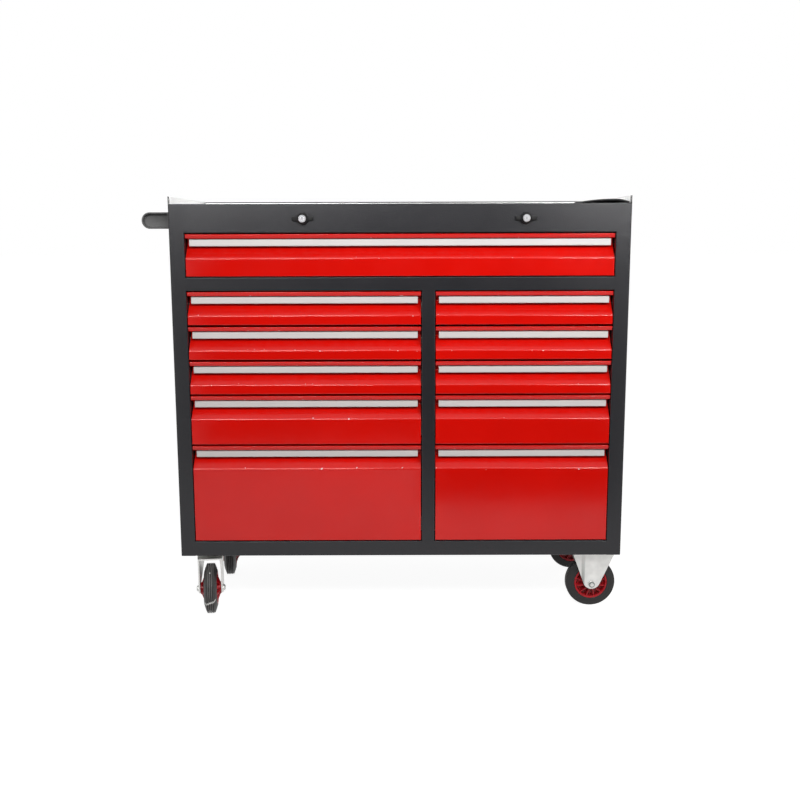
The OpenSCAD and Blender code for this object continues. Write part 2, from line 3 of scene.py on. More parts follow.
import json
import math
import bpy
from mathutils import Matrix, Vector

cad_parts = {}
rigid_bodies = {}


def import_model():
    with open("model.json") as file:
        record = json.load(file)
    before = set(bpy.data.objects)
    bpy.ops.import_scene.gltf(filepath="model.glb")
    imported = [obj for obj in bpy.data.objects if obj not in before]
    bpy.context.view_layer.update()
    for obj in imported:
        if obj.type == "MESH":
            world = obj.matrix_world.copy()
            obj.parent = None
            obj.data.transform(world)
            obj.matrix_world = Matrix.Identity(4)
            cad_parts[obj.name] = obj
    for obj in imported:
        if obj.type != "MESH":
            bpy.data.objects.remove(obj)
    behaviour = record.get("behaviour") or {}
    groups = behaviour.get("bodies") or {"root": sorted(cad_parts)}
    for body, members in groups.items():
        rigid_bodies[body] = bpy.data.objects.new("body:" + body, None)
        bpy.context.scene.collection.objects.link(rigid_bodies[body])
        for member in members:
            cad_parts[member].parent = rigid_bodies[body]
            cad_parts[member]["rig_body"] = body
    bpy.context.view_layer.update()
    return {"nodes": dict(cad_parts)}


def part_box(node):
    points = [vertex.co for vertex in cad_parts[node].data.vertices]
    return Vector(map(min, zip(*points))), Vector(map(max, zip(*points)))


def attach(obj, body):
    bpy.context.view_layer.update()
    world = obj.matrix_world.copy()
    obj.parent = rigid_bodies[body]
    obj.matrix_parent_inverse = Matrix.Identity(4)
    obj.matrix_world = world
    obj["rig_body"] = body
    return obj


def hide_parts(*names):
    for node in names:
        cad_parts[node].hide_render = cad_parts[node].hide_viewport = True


bl_info = {
    "name": "Rolling Tool Cabinet",
    "version": (1, 0, 0),
    "blender": (4, 5, 0),
    "location": "3D View > Sidebar > Cabinet",
    "description": "Builds the finished pieces, materials and stage of a rolling tool cabinet",
    "category": "Object",
}

import bmesh
import bpy
from mathutils import Matrix, Vector

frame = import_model()

MM = 0.001
WHITE = (1.0, 1.0, 1.0, 1.0)
DRAWERS = ["top_drawer"] + [f"{side}_drawer_{i}" for side in ("left", "right") for i in range(1, 6)]
SWIVELS = ["front_swivel", "rear_swivel"]
FIXED = ["front_fixed", "rear_fixed"]
CASTERS = SWIVELS + FIXED
LOCKS = ["left_lock", "right_lock"]

BODY_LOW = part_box("left_side_panel")[0]
BODY_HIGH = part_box("right_side_panel")[1]

STILE = 35 * MM
FOOT_RAIL = 36 * MM
CASTER_INSET = 85 * MM
RIM_RADIUS = 41 * MM
WHEEL_HALF = 16 * MM
SWIVEL_YAW = math.radians(-83.0)
LEG_SPLAY = math.radians(7.5)


# Settings that a user may change


def length(label, text, default):
    return bpy.props.FloatProperty(name=label, description=text, default=default, unit="LENGTH", precision=5)


def colour(label, text, default):
    return bpy.props.FloatVectorProperty(
        name=label, description=text, default=default, subtype="COLOR", size=3, min=0.0, max=1.0
    )


def amount(label, text, default, least=0.0, unit="NONE"):
    return bpy.props.FloatProperty(name=label, description=text, default=default, min=least, unit=unit)


def angle(label, text, degrees):
    turn = math.radians(degrees)
    return bpy.props.FloatProperty(name=label, description=text, default=turn, unit="ROTATION")


class CabinetSizes(bpy.types.PropertyGroup):
    """Sizes of the folded sheet, the fittings and the casters"""

    sheet: length("Sheet", "Thickness of the sheet steel", 1.0 * MM)
    bend: length("Bend", "Centre line radius of a fold", 1.4 * MM)
    soft_bend: length("Soft bend", "Centre line radius of a drawer front's crease", 6.5 * MM)
    edge: length("Edge", "Rounding of cut edges", 0.25 * MM)
    lip: length("Lip", "Height of the lip over a drawer pull", 10.0 * MM)
    lip_drop: length("Lip drop", "Room above the lip of a drawer front", 0.8 * MM)
    lip_lean: length("Lip lean", "How far the foot of the lip leans back", 4.0 * MM)
    lip_hem: length("Lip hem", "Depth of the edge folded in under the lip", 3.0 * MM)
    recess: length("Recess", "Depth of the recess behind a drawer pull", 30.0 * MM)
    crease: length("Crease", "Distance of the front's crease below its top", 55.5 * MM)
    front_return: length("Front return", "Depth of the folded edges of a drawer front", 14.0 * MM)
    slide_room: length("Slide room", "Room beside a drawer box, from the front's end", 10.5 * MM)
    box_lift: length("Box lift", "Height of the drawer box above the front's foot", 6.0 * MM)
    box_drop: length("Box drop", "Distance of the drawer box below the front's top", 12.0 * MM)
    box_hem: length("Box hem", "Depth of the hem along the top of a drawer box", 7.0 * MM)
    pull_thick: length("Pull", "Thickness of the pull strip", 1.4 * MM)
    pull_gap: length("Pull gap", "Gap between the lip and the pull below it", 2.2 * MM)
    pull_lean: length("Pull lean", "How far the foot of the pull leans out", 0.8 * MM)
    pull_reach: length("Pull reach", "How far the pull reaches below its solid", 0.8 * MM)
    mat_lift: length("Mat lift", "Height of the buckle in the worktop mat", 10.0 * MM)
    mat_slip: length("Mat slip", "How far the mat reaches past its solid", 5.0 * MM)
    bracket_wall: length("Bracket wall", "Wall of the handle's end brackets", 3.5 * MM)
    tube: length("Tube", "Diameter of the handle tube", 28.0 * MM)
    tread: length("Tread", "Width of the flat part of a tyre's tread", 18.0 * MM)
    shoulder: length("Shoulder", "Height of a tyre's sloped shoulder", 19.0 * MM)
    bolt: length("Bolt", "Width across the flats of the caster bolts", 13.0 * MM)


class CabinetColours(bpy.types.PropertyGroup):
    """Base colours of the finishes"""

    body: colour("Body", "Textured powder coat of the body", (0.0186, 0.0184, 0.0216))
    drawer: colour("Drawer", "Gloss paint of the drawers", (0.74, 0.0046, 0.0016))
    aluminium: colour("Aluminium", "Satin aluminium of the pulls", (0.635, 0.615, 0.60))
    zinc: colour("Zinc", "Zinc plating of slides and casters", (0.71, 0.71, 0.69))
    stainless: colour("Stainless", "Brushed worktop", (0.93, 0.93, 0.92))
    rubber: colour("Rubber", "Worktop mat", (0.018, 0.018, 0.019))
    tyre: colour("Tyre", "Tyre rubber", (0.030, 0.028, 0.028))
    rim: colour("Rim", "Moulded wheel rims", (0.46, 0.004, 0.012))
    plastic: colour("Plastic", "Black fittings", (0.020, 0.020, 0.020))
    chrome: colour("Chrome", "Key faces", (0.45, 0.45, 0.46))


class CabinetStage(bpy.types.PropertyGroup):
    """Camera and lamps"""

    camera_place: bpy.props.FloatVectorProperty(
        name="Camera", description="Place of the camera, from the middle of the front's foot on the floor",
        default=(-0.0011, -2.3577, 0.9299), subtype="TRANSLATION", unit="LENGTH", precision=4,
    )
    camera_dip: angle("Dip", "Angle of the camera below the horizon", 9.419)
    camera_roll: angle("Roll", "Angle of the camera about its own axis", -0.16)
    lens: amount("Lens", "Focal length in mm", 45.42, least=1.0)
    room_light: amount("Room light", "Strength of the light from all around", 0.20)
    lamp_power: amount("Lamp power", "Power that each lamp has a share of", 26.0, unit="POWER")


# Shader helpers


def feed(tree, socket, value):
    """Links an input to another node's output, or sets its value."""
    if isinstance(value, bpy.types.NodeSocket):
        tree.links.new(value, socket)
    else:
        socket.default_value = value


def put(tree, kind, inputs=None, **settings):
    """Adds a node, sets it up, and sets or links its inputs."""
    made = tree.nodes.new(kind)
    for key, value in settings.items():
        setattr(made, key, value)
    for key, value in (inputs or {}).items():
        feed(tree, made.inputs[key], value)
    return made


def math_node(tree, operation, a, b=0.0, clamp=False):
    return put(tree, "ShaderNodeMath", {0: a, 1: b}, operation=operation, use_clamp=clamp).outputs[0]


def times(tree, a, b):
    return math_node(tree, "MULTIPLY", a, b)


def vector_math(tree, operation, *values):
    made = put(tree, "ShaderNodeVectorMath", dict(enumerate(values)), operation=operation)
    return made.outputs["Value" if operation in ("LENGTH", "DOT_PRODUCT") else "Vector"]


def remap(tree, value, low, high, new_low=0.0, new_high=1.0):
    return put(
        tree, "ShaderNodeMapRange", {"Value": value, 1: low, 2: high, 3: new_low, 4: new_high}, clamp=True
    ).outputs["Result"]


def spread(tree, value, ends):
    """Stretches a value from 0 to 1 over the range between two ends."""
    return remap(tree, value, 0.0, 1.0, *ends)


def noise(tree, vector, scale, detail=2.0, roughness=0.5):
    return put(
        tree, "ShaderNodeTexNoise",
        {"Vector": vector, "Scale": scale, "Detail": detail, "Roughness": roughness},
    ).outputs["Fac"]


def attribute(tree, name):
    return put(tree, "ShaderNodeAttribute", attribute_name=name).outputs["Fac"]


def blend(tree, factor, a, b):
    return put(tree, "ShaderNodeMix", {"Factor": factor, 6: a, 7: b}, data_type="RGBA").outputs[2]


def tint(tree, tone, mask, share, over):
    """Lays a share of a second colour over a tone where a mask is set."""
    return blend(tree, times(tree, mask, share), tone, over)


def pattern(build, output, inputs):
    """Node group of a pattern: build(tree, sockets) gives the socket to put out."""
    group = bpy.data.node_groups.new(build.__name__, "ShaderNodeTree")
    for name, default in {"Vector": (0.0, 0.0, 0.0), **inputs}.items():
        kind = "NodeSocketFloat" if isinstance(default, float) else "NodeSocketVector"
        group.interface.new_socket(name=name, in_out="INPUT", socket_type=kind).default_value = default
    group.interface.new_socket(name=output, in_out="OUTPUT", socket_type="NodeSocketFloat")
    start = group.nodes.new("NodeGroupInput")
    end = group.nodes.new("NodeGroupOutput")
    group.links.new(build(group, start.outputs), end.inputs[0])
    return group


def effect(output, **inputs):
    """Makes a pattern a shared node group, which the function then adds to a tree and gives the output of."""

    def wrap(build):
        def add(tree, where, **given):
            group = bpy.data.node_groups.get(build.__name__) or pattern(build, output, inputs)
            return put(tree, "ShaderNodeGroup", {"Vector": where, **given}, node_tree=group).outputs[0]

        return add

    return wrap


@effect("Value", Scale=10.0)
def mottle(tree, given):
    """Soft uneven patches, 0 to 1."""
    return remap(tree, noise(tree, given["Vector"], given["Scale"], 4.0, 0.55), 0.32, 0.68)


@effect("Height", Scale=400.0, Grain=0.3)
def paint_peel(tree, given):
    """Height of the small waves in sprayed paint."""
    waves = noise(tree, given["Vector"], given["Scale"], 1.0, 0.4)
    grain = noise(tree, given["Vector"], times(tree, given["Scale"], 2.6), 2.0, 0.6)
    return math_node(tree, "ADD", waves, times(tree, grain, given["Grain"]))


@effect("Height", Scale=300.0, Grain=0.3)
def powder_grain(tree, given):
    """Height of the round grains in a textured powder coat."""
    cells = put(
        tree, "ShaderNodeTexVoronoi",
        {"Vector": given["Vector"], "Scale": given["Scale"], "Smoothness": 0.7}, feature="SMOOTH_F1",
    )
    fine = times(tree, noise(tree, given["Vector"], 900.0, 2.0, 0.6), given["Grain"])
    return math_node(tree, "SUBTRACT", fine, cells.outputs["Distance"])


@effect("Mask", Scale=16.0, Share=0.1, Radius=0.04)
def chips(tree, given):
    """Mask of scattered small chips and specks."""
    ragged = 2.2 * MM
    shake = put(tree, "ShaderNodeTexNoise", {"Vector": given["Vector"], "Scale": 420.0, "Detail": 2.0})
    offset = vector_math(tree, "SUBTRACT", shake.outputs["Color"], (0.5, 0.5, 0.5))
    moved = vector_math(tree, "MULTIPLY_ADD", offset, (ragged, ragged, ragged), given["Vector"])
    cells = put(tree, "ShaderNodeTexVoronoi", {"Vector": moved, "Scale": given["Scale"]})
    pick = put(tree, "ShaderNodeSeparateColor", {"Color": cells.outputs["Color"]})
    chosen = math_node(tree, "LESS_THAN", pick.outputs[0], given["Share"])
    radius = times(tree, spread(tree, pick.outputs[1], (0.35, 1.0)), given["Radius"])
    return times(tree, chosen, math_node(tree, "LESS_THAN", cells.outputs["Distance"], radius))


@effect("Value", Stretch=(4.0, 900.0, 900.0))
def brushing(tree, given):
    """Fine lines drawn out along one direction, 0 to 1."""
    drawn = vector_math(tree, "MULTIPLY", given["Vector"], given["Stretch"])
    return remap(tree, noise(tree, drawn, 1.0, 3.0, 0.65), 0.25, 0.75)


@effect("Mask", Normal=(0.0, 0.0, 0.0))
def settled_dust(tree, given):
    """Mask of dust that lies on upward faces."""
    up = put(tree, "ShaderNodeSeparateXYZ", {"Vector": given["Normal"]}).outputs["Z"]
    patches = remap(tree, noise(tree, given["Vector"], 55.0, 6.0, 0.65), 0.38, 0.72)
    return times(tree, remap(tree, up, 0.35, 0.95), patches)


@effect("Mask", Stretch=(60.0, 60.0, 900.0), Scale=9.0)
def scuffs(tree, given):
    """Mask of thin rubbed streaks."""
    drawn = vector_math(tree, "MULTIPLY", given["Vector"], given["Stretch"])
    lines = remap(tree, noise(tree, drawn, 1.0, 5.0, 0.6), 0.66, 0.72)
    return times(tree, lines, remap(tree, noise(tree, given["Vector"], given["Scale"], 2.0), 0.52, 0.62))


def rgba(colour_value, factor=1.0):
    return (*[min(1.0, channel * factor) for channel in colour_value], 1.0)


def start_material(label):
    """New material with its shader, and the object coordinates and normal that its pattern reads."""
    material = bpy.data.materials.new(label)
    material.use_nodes = True
    tree = material.node_tree
    shader = tree.nodes["Principled BSDF"]
    place = put(tree, "ShaderNodeTexCoord")
    return material, tree, shader, place.outputs["Object"], place.outputs["Normal"]


def bump(tree, shader, height, strength, distance):
    made = put(tree, "ShaderNodeBump", {"Height": height, "Strength": strength, "Distance": distance})
    tree.links.new(made.outputs["Normal"], shader.inputs["Normal"])


def wire(tree, shader, **inputs):
    for key, value in inputs.items():
        feed(tree, shader.inputs[key.replace("_", " ")], value)


def body_grey(colours):
    dust_tone, chip_tone = (0.42, 0.41, 0.39, 1.0), (0.50, 0.50, 0.50, 1.0)
    material, tree, shader, where, up = start_material("body_grey")
    patches = mottle(tree, where, Scale=7.0)
    coat = blend(tree, patches, rgba(colours.body, 0.93), rgba(colours.body, 1.08))
    coat = tint(tree, coat, settled_dust(tree, where, Normal=up), 0.10, dust_tone)
    coat = tint(tree, coat, chips(tree, where, Scale=21.0, Share=0.05, Radius=0.028), 0.55, chip_tone)
    sheen = spread(tree, patches, (0.24, 0.26))
    wire(tree, shader, Base_Color=coat, Roughness=sheen, Specular_IOR_Level=0.36)
    bump(tree, shader, powder_grain(tree, where, Scale=480.0, Grain=0.2), strength=0.8, distance=0.2 * MM)
    return material


def drawer_red(colours):
    dust_tone, chip_tone = (0.62, 0.52, 0.50, 1.0), (0.85, 0.78, 0.76, 1.0)
    nick_tone = (0.85, 0.80, 0.78, 1.0)
    material, tree, shader, where, up = start_material("drawer_red")
    patches = mottle(tree, where, Scale=5.0)
    paint = blend(tree, patches, rgba(colours.drawer, 0.95), rgba(colours.drawer, 1.03))
    paint = tint(tree, paint, settled_dust(tree, where, Normal=up), 0.02, dust_tone)
    paint = tint(tree, paint, chips(tree, where, Scale=14.0, Share=0.085, Radius=0.026), 0.75, chip_tone)
    nicks = math_node(tree, "GREATER_THAN", noise(tree, where, 120.0), 0.72)
    nicks = times(tree, nicks, math_node(tree, "GREATER_THAN", attribute(tree, "rubbed"), 0.985))
    paint = tint(tree, paint, nicks, 0.9, nick_tone)
    sheen = spread(tree, mottle(tree, where, Scale=16.0), (0.12, 0.17))
    wire(tree, shader, Base_Color=paint, Roughness=sheen, Specular_IOR_Level=0.36)
    bump(tree, shader, paint_peel(tree, where, Scale=420.0, Grain=0.3), strength=0.012, distance=0.4 * MM)
    return material


def satin_metal(label, base, stretch, rough, relief, metallic=1.0):
    """Metal with fine lines along one direction and uneven sheen."""
    material, tree, shader, where, _ = start_material(label)
    lines = brushing(tree, where, Stretch=stretch)
    patches = mottle(tree, where, Scale=11.0)
    tone = blend(tree, lines, rgba(base, 0.92), rgba(base, 1.05))
    tone = tint(tree, tone, patches, 0.25, rgba(base, 0.86))
    sheen = math_node(tree, "ADD", spread(tree, lines, rough), times(tree, patches, 0.06))
    wire(tree, shader, Base_Color=tone, Roughness=sheen, Metallic=metallic)
    bump(tree, shader, lines, relief, distance=0.08 * MM)
    return material


def pull_aluminium(colours):
    return satin_metal(
        "pull_aluminium", colours.aluminium, (3.0, 700.0, 1400.0), rough=(0.42, 0.56), relief=0.25,
        metallic=0.08,
    )


def worktop_stainless(colours):
    return satin_metal(
        "worktop_stainless", colours.stainless, (2.5, 1500.0, 900.0), rough=(0.22, 0.38), relief=0.3
    )


def lock_chrome(colours):
    return satin_metal("lock_chrome", colours.chrome, (1500.0, 60.0, 1500.0), rough=(0.20, 0.32), relief=0.15)


def zinc_plate(label, base):
    """Zinc plating: soft grey clouds, light stains, painted shade in pressed lines, darker washers and a fine
    grain.
    """
    stain_tone, shade_and_washer_tone = (0.32, 0.30, 0.27, 1.0), (0.24, 0.26, 0.25, 1.0)
    material, tree, shader, where, _ = start_material(label)
    clouds = mottle(tree, where, Scale=38.0)
    grain = noise(tree, where, 900.0, 3.0, 0.6)
    tone = blend(tree, clouds, rgba(base, 0.88), rgba(base, 1.08))
    tone = tint(tree, tone, scuffs(tree, where, Stretch=(90.0, 90.0, 35.0), Scale=22.0), 0.35, stain_tone)
    # Painted shade: darkens the pressed line down the fixed forks' legs; the same layer also darkens the axle
    # washers
    tone = tint(tree, tone, attribute(tree, "press_line"), 0.85, shade_and_washer_tone)
    sheen = math_node(tree, "ADD", spread(tree, clouds, (0.34, 0.46)), times(tree, grain, 0.08))
    wire(tree, shader, Base_Color=tone, Roughness=sheen, Metallic=0.82)
    bump(tree, shader, grain, strength=0.12, distance=0.1 * MM)
    return material


def slide_zinc(colours):
    return zinc_plate("slide_zinc", [0.82 * channel for channel in colours.zinc])


def caster_zinc(colours):
    return zinc_plate("caster_zinc", colours.zinc)


def moulded(label, base, grain, relief, rough, dusty, gloss=0.40, worn=None, marks=()):
    """Moulded plastic or rubber with a fine skin, dust and rubbed streaks."""
    dust_tone, scuff_tone = (0.40, 0.39, 0.37, 1.0), (0.5, 0.5, 0.48, 1.0)
    mark_tone = (0.92, 0.92, 0.90, 1.0)
    material, tree, shader, where, up = start_material(label)
    patches = mottle(tree, where, Scale=24.0)
    tone = blend(tree, patches, rgba(base, 0.85), rgba(base, 1.2))
    tone = tint(tree, tone, settled_dust(tree, where, Normal=up), dusty, dust_tone)
    rubbed = scuffs(tree, where, Stretch=(160.0, 420.0, 160.0), Scale=30.0)
    tone = tint(tree, tone, rubbed, 0.3 * dusty + 0.06, scuff_tone)
    sheen = spread(tree, patches, rough)
    if worn:
        bare = attribute(tree, "worn")
        tone = tint(tree, tone, bare, spread(tree, patches, (0.5, 0.9)), worn)
        sheen = math_node(tree, "SUBTRACT", sheen, times(tree, bare, 0.18))
    for place, across, long, thick in marks:
        tone = blend(tree, rub_mark(tree, where, place, across, long, thick), tone, mark_tone)
    wire(tree, shader, Base_Color=tone, Roughness=sheen, Specular_IOR_Level=gloss)
    bump(tree, shader, noise(tree, where, grain, 3.0, 0.6), relief, distance=0.2 * MM)
    return material


def rub_mark(tree, where, place, across, long, thick):
    """Mask of one short rubbed streak at a place: it is narrow in the direction across."""
    ragged = 3.0 * MM
    offset = vector_math(tree, "SUBTRACT", where, place)
    far = vector_math(tree, "LENGTH", offset)
    aside = vector_math(tree, "DOT_PRODUCT", offset, across)
    shake = times(tree, math_node(tree, "SUBTRACT", noise(tree, where, 260.0, 3.0), 0.5), ragged)
    aside = math_node(tree, "ABSOLUTE", math_node(tree, "ADD", aside, shake))
    narrow = math_node(tree, "LESS_THAN", aside, thick)
    return times(tree, narrow, math_node(tree, "LESS_THAN", far, long))


def tread_marks():
    """Rubbed streaks on the front swivel tyre: place, direction across, half length and half thickness."""
    matrix = caster_turn("front_swivel")
    low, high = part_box("front_swivel_tyre")
    radius = (high.z - low.z) / 2
    for dip, along, slant, long, thick in (
        (19.0, -1.0, 22.0, 17.0, 2.2), (-55.0, 0.5, 0.0, 3.0, 1.6), (51.0, -2.0, 10.0, 5.0, 4.0),
    ):
        dip, slant = math.radians(dip), math.radians(slant)
        ahead = Vector((math.cos(dip), 0.0, -math.sin(dip)))
        rising = Vector((math.sin(dip), 0.0, math.cos(dip)))
        place = matrix @ (ahead * radius + Vector((0.0, along * MM, 0.0)))
        across = matrix.to_3x3() @ (rising * math.cos(slant) - Vector((0.0, math.sin(slant), 0.0)))
        yield place, across, long * MM, thick * MM


def mat_rubber(colours):
    return moulded("mat_rubber", colours.rubber, grain=700.0, relief=0.30, rough=(0.60, 0.75), dusty=0.12)


def tyre_rubber(colours):
    return moulded(
        "tyre_rubber", colours.tyre, grain=420.0, relief=0.35, rough=(0.44, 0.60), dusty=0.30, gloss=0.26,
        worn=(0.22, 0.215, 0.21, 1.0), marks=tread_marks(),
    )


def rim_red(colours):
    return moulded("rim_red", colours.rim, grain=300.0, relief=0.12, rough=(0.30, 0.42), dusty=0.10)


def handle_black(colours):
    grey = [4.2 * channel for channel in colours.plastic]
    return moulded("handle_black", grey, grain=800.0, relief=0.30, rough=(0.42, 0.55), dusty=0.14)


def lock_black(colours):
    black = [0.4 * channel for channel in colours.plastic]
    return moulded("lock_black", black, grain=900.0, relief=0.15, rough=(0.42, 0.52), dusty=0.04, gloss=0.20)


FINISHES = {
    maker.__name__: maker
    for maker in (
        body_grey, drawer_red, pull_aluminium, worktop_stainless, lock_chrome, slide_zinc, caster_zinc,
        mat_rubber, tyre_rubber, rim_red, handle_black, lock_black,
    )
}


def finish(slot):
    """The material of one of the record's slots, made when it is first asked for."""
    made = bpy.data.materials.get(slot + "_finish")
    if made is None:
        made = FINISHES[slot](bpy.context.scene.cabinet_colours)
        made.name = slot + "_finish"
    return made


# Mesh helpers


def to_mesh(name, bm):
    mesh = bpy.data.meshes.new(name)
    bm.to_mesh(mesh)
    bm.free()
    return mesh


def piece(name, bm, slot, body, replaced=(), thick=0.0, edge=0.0, smooth=32.0):
    """Turns a bmesh into a finished piece that rides on a body."""
    bmesh.ops.recalc_face_normals(bm, faces=bm.faces)
    return dress(name, to_mesh(name, bm), slot, body, replaced, thick, edge, smooth)


def dress(name, mesh, slot, body, replaced=(), thick=0.0, edge=0.0, smooth=32.0):
    """Gives a mesh its finish, wall and rounded edges, and makes it a piece that rides on a body."""
    mesh.materials.clear()
    mesh.materials.append(finish(slot))
    mesh.shade_smooth()
    mesh.set_sharp_from_angle(angle=math.radians(smooth))
    made = bpy.data.objects.new(name, mesh)
    bpy.context.scene.collection.objects.link(made)
    if thick:
        wall = made.modifiers.new("Wall", "SOLIDIFY")
        wall.thickness = thick
        wall.offset = 0.0
        wall.use_even_offset = True
    if edge:
        rounding = made.modifiers.new("Rounding", "BEVEL")
        rounding.width = edge
        rounding.segments = 2
        rounding.limit_method = "ANGLE"
        rounding.angle_limit = math.radians(smooth)
        rounding.harden_normals = False
        even = made.modifiers.new("Even shading", "WEIGHTED_NORMAL")
        even.keep_sharp = True
    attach(made, body)
    if replaced:
        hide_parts(*replaced)
    return made


def copied(node, name, slot, edge, smooth=32.0, shape=None, change=None):
    """A merged copy of a CAD node with rounded edges, standing for it. shape(point) may move its points."""
    source = frame["nodes"][node]
    bm = bmesh.new()
    bm.from_mesh(source.data)
    bmesh.ops.remove_doubles(bm, verts=bm.verts, dist=0.004 * MM)
    bmesh.ops.dissolve_limit(bm, angle_limit=math.radians(0.5), verts=bm.verts, edges=bm.edges)
    if change:
        change(bm)
    if shape:
        for vert in bm.verts:
            vert.co = shape(vert.co)
    return dress(name, to_mesh(name, bm), slot, source["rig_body"], (node,), edge=edge, smooth=smooth)


def verts_in(geom):
    return [g for g in geom if isinstance(g, bmesh.types.BMVert)]


def edges_of(verts):
    return {e for v in verts for e in v.link_edges}


def added(bm, seen):
    """Points that a bmesh has got since seen was noted."""
    return [v for v in bm.verts if v not in seen]


def rounded(bm, edges, width, steps):
    bmesh.ops.bevel(
        bm, geom=list(edges), offset=width, offset_type="OFFSET", segments=steps, profile=0.5, affect="EDGES",
        material=-1,
    )


def line(bm, points):
    """A chain of edges through points."""
    verts = [bm.verts.new(p) for p in points]
    return [bm.edges.new(pair) for pair in zip(verts, verts[1:])]


def fold(bm, section, start, end, bend, soft=0.0):
    """A sheet along X: its section is a chain of (y, z) with round bends, softer at slight turns."""
    flat, slight, full, steps = 0.05, 0.5, 1.0, 5
    drawn = bmesh.ops.extrude_edge_only(bm, edges=line(bm, [(start, y, z) for y, z in section]))["geom"]
    bmesh.ops.translate(bm, verts=verts_in(drawn), vec=(end - start, 0, 0))
    faces = [g for g in drawn if isinstance(g, bmesh.types.BMFace)]
    bmesh.ops.recalc_face_normals(bm, faces=faces)
    turns = {}
    for edge in {e for f in faces for e in f.edges if len(e.link_faces) == 2}:
        turns.setdefault(round(edge.calc_face_angle(), 3), []).append(edge)
    for turn, edges in turns.items():
        if turn > flat:
            radius = soft if soft and slight < turn < full else bend
            rounded(bm, edges, radius * math.tan(turn / 2), steps)


def panel(bm, points):
    """One flat face through points."""
    bmesh.ops.contextual_create(bm, geom=[bm.verts.new(p) for p in points])


def mirrored(profile):
    """The same profile on the other side, run through backwards."""
    return [(radius, -along) for radius, along in profile[::-1]]


def spun(bm, profile, matrix=Matrix(), steps=64):
    """A turned body about Y: profile is a chain of (radius, distance along the axis)."""
    seen = set(bm.verts)
    chain = line(bm, [(radius, along, 0.0) for radius, along in profile])
    bmesh.ops.spin(
        bm, geom=chain + list({v for e in chain for v in e.verts}), cent=(0, 0, 0), axis=(0, 1, 0),
        dvec=(0, 0, 0), angle=2 * math.pi, steps=steps, use_merge=True,
    )
    bmesh.ops.remove_doubles(bm, verts=added(bm, seen), dist=0.002 * MM)
    bmesh.ops.transform(bm, matrix=matrix, verts=added(bm, seen))


def block(bm, low, high, edge=0.0, steps=2, matrix=Matrix()):
    """A box, which may have rounded edges."""
    low, high = Vector(low), Vector(high)
    place = Matrix.Translation((low + high) / 2) @ Matrix.Diagonal((*(high - low), 1.0))
    verts = bmesh.ops.create_cube(bm, size=1.0, matrix=matrix @ place)["verts"]
    if edge:
        rounded(bm, edges_of(verts), edge, steps)
    return verts


def bolt(bm, place, axis, across, height, washer, under=1.6 * MM):
    """Hexagon bolt head on a washer, facing along axis."""
    turn = Vector((0, 0, 1)).rotation_difference(Vector(axis)).to_matrix().to_4x4()
    matrix = Matrix.Translation(place) @ turn
    bmesh.ops.create_cone(
        bm, cap_ends=True, segments=28, radius1=washer / 2, radius2=washer / 2 - 0.4 * MM, depth=under,
        matrix=matrix @ Matrix.Translation((0, 0, under / 2)),
    )
    corner = across / math.sqrt(3)
    verts = bmesh.ops.create_cone(
        bm, cap_ends=True, segments=6, radius1=corner, radius2=corner, depth=height,
        matrix=matrix @ Matrix.Translation((0, 0, under + height / 2)),
    )["verts"]
    rounded(bm, edges_of(verts), width=0.7 * MM, steps=2)


def centre(node):
    low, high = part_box(node)
    return (low + high) / 2


def caster_turn(name):
    """Place and turn of a caster's wheel: its axle lies along Y before the turn."""
    yaw = SWIVEL_YAW if name in SWIVELS else 0.0
    return Matrix.Translation(centre(name + "_tyre")) @ Matrix.Rotation(yaw, 4, "Z")


# Operators, one for each group of like pieces


class CABINET_OT_body(bpy.types.Operator):
    """Builds the folded panels of the body"""

    bl_idname = "cabinet.body"
    bl_label = "Body Panels"

    def execute(self, context):
        edge = context.scene.cabinet_sizes.edge
        for node in (
            "left_side_panel", "right_side_panel", "back_panel", "base_pan", "top_rail", "mid_rail",
            "centre_partition",
        ):
            copied(node, node + "_coated", "body_grey", edge)
        self.welds()
        return {"FINISHED"}

    def welds(self):
        """Ground welds that close the joints of the front frame."""
        bm = bmesh.new()
        proud, deep, short, reach = 0.02 * MM, 0.5 * MM, 2.0 * MM, 3.2 * MM
        top_low, top_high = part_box("top_rail")
        mid_low, mid_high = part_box("mid_rail")
        wall_low, wall_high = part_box("centre_partition")
        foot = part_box("base_pan")[0].z
        front = BODY_LOW.y - proud
        for low, high in ((top_low.z, top_high.z), (mid_low.z, mid_high.z), (foot, foot + FOOT_RAIL)):
            for x in (BODY_LOW.x + STILE, BODY_HIGH.x - STILE):
                block(bm, (x - reach, front, low + short), (x + reach, front + deep, high - short))
        for z in (mid_low.z, foot + FOOT_RAIL):
            block(
                bm, (wall_low.x + short, front, z - reach), (wall_high.x - short, front + deep, z + reach)
            )
        piece("front_frame_welds", bm, "body_grey", "cabinet")


class CABINET_OT_worktop(bpy.types.Operator):
    """Builds the worktop tray and the mat that lies in it"""

    bl_idname = "cabinet.worktop"
    bl_label = "Worktop"

    def execute(self, context):
        sizes = context.scene.cabinet_sizes
        copied("worktop", "worktop_tray", "worktop_stainless", sizes.edge)
        low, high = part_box("worktop_mat")
        buckle_from, buckle_to, crest, reach = high.x - 128 * MM, high.x + 14 * MM, 0.695, 170 * MM
        high.x += sizes.mat_slip
        span = high - low
        bm = bmesh.new()
        scale = Matrix.Diagonal((span.x / 2, span.y / 2, 1.0, 1.0))
        place = Matrix.Translation((low + high) / 2)
        bmesh.ops.create_grid(bm, x_segments=176, y_segments=36, size=1.0, matrix=place @ scale)
        for vert in bm.verts:
            across = (vert.co.x - buckle_from) / (buckle_to - buckle_from)
            back = (vert.co.y - low.y) / reach
            if 0.0 < across < 1.0 and back < 1.0:
                rise = 1.0 - ((across - crest) / (crest if across < crest else 1.0 - crest)) ** 2
                vert.co.z += sizes.mat_lift * rise * math.cos(math.pi / 2 * back) ** 2
        piece(
            "worktop_mat_sheet", bm, "mat_rubber", "cabinet", ("worktop_mat",), thick=span.z, edge=0.5 * MM
        )
        return {"FINISHED"}


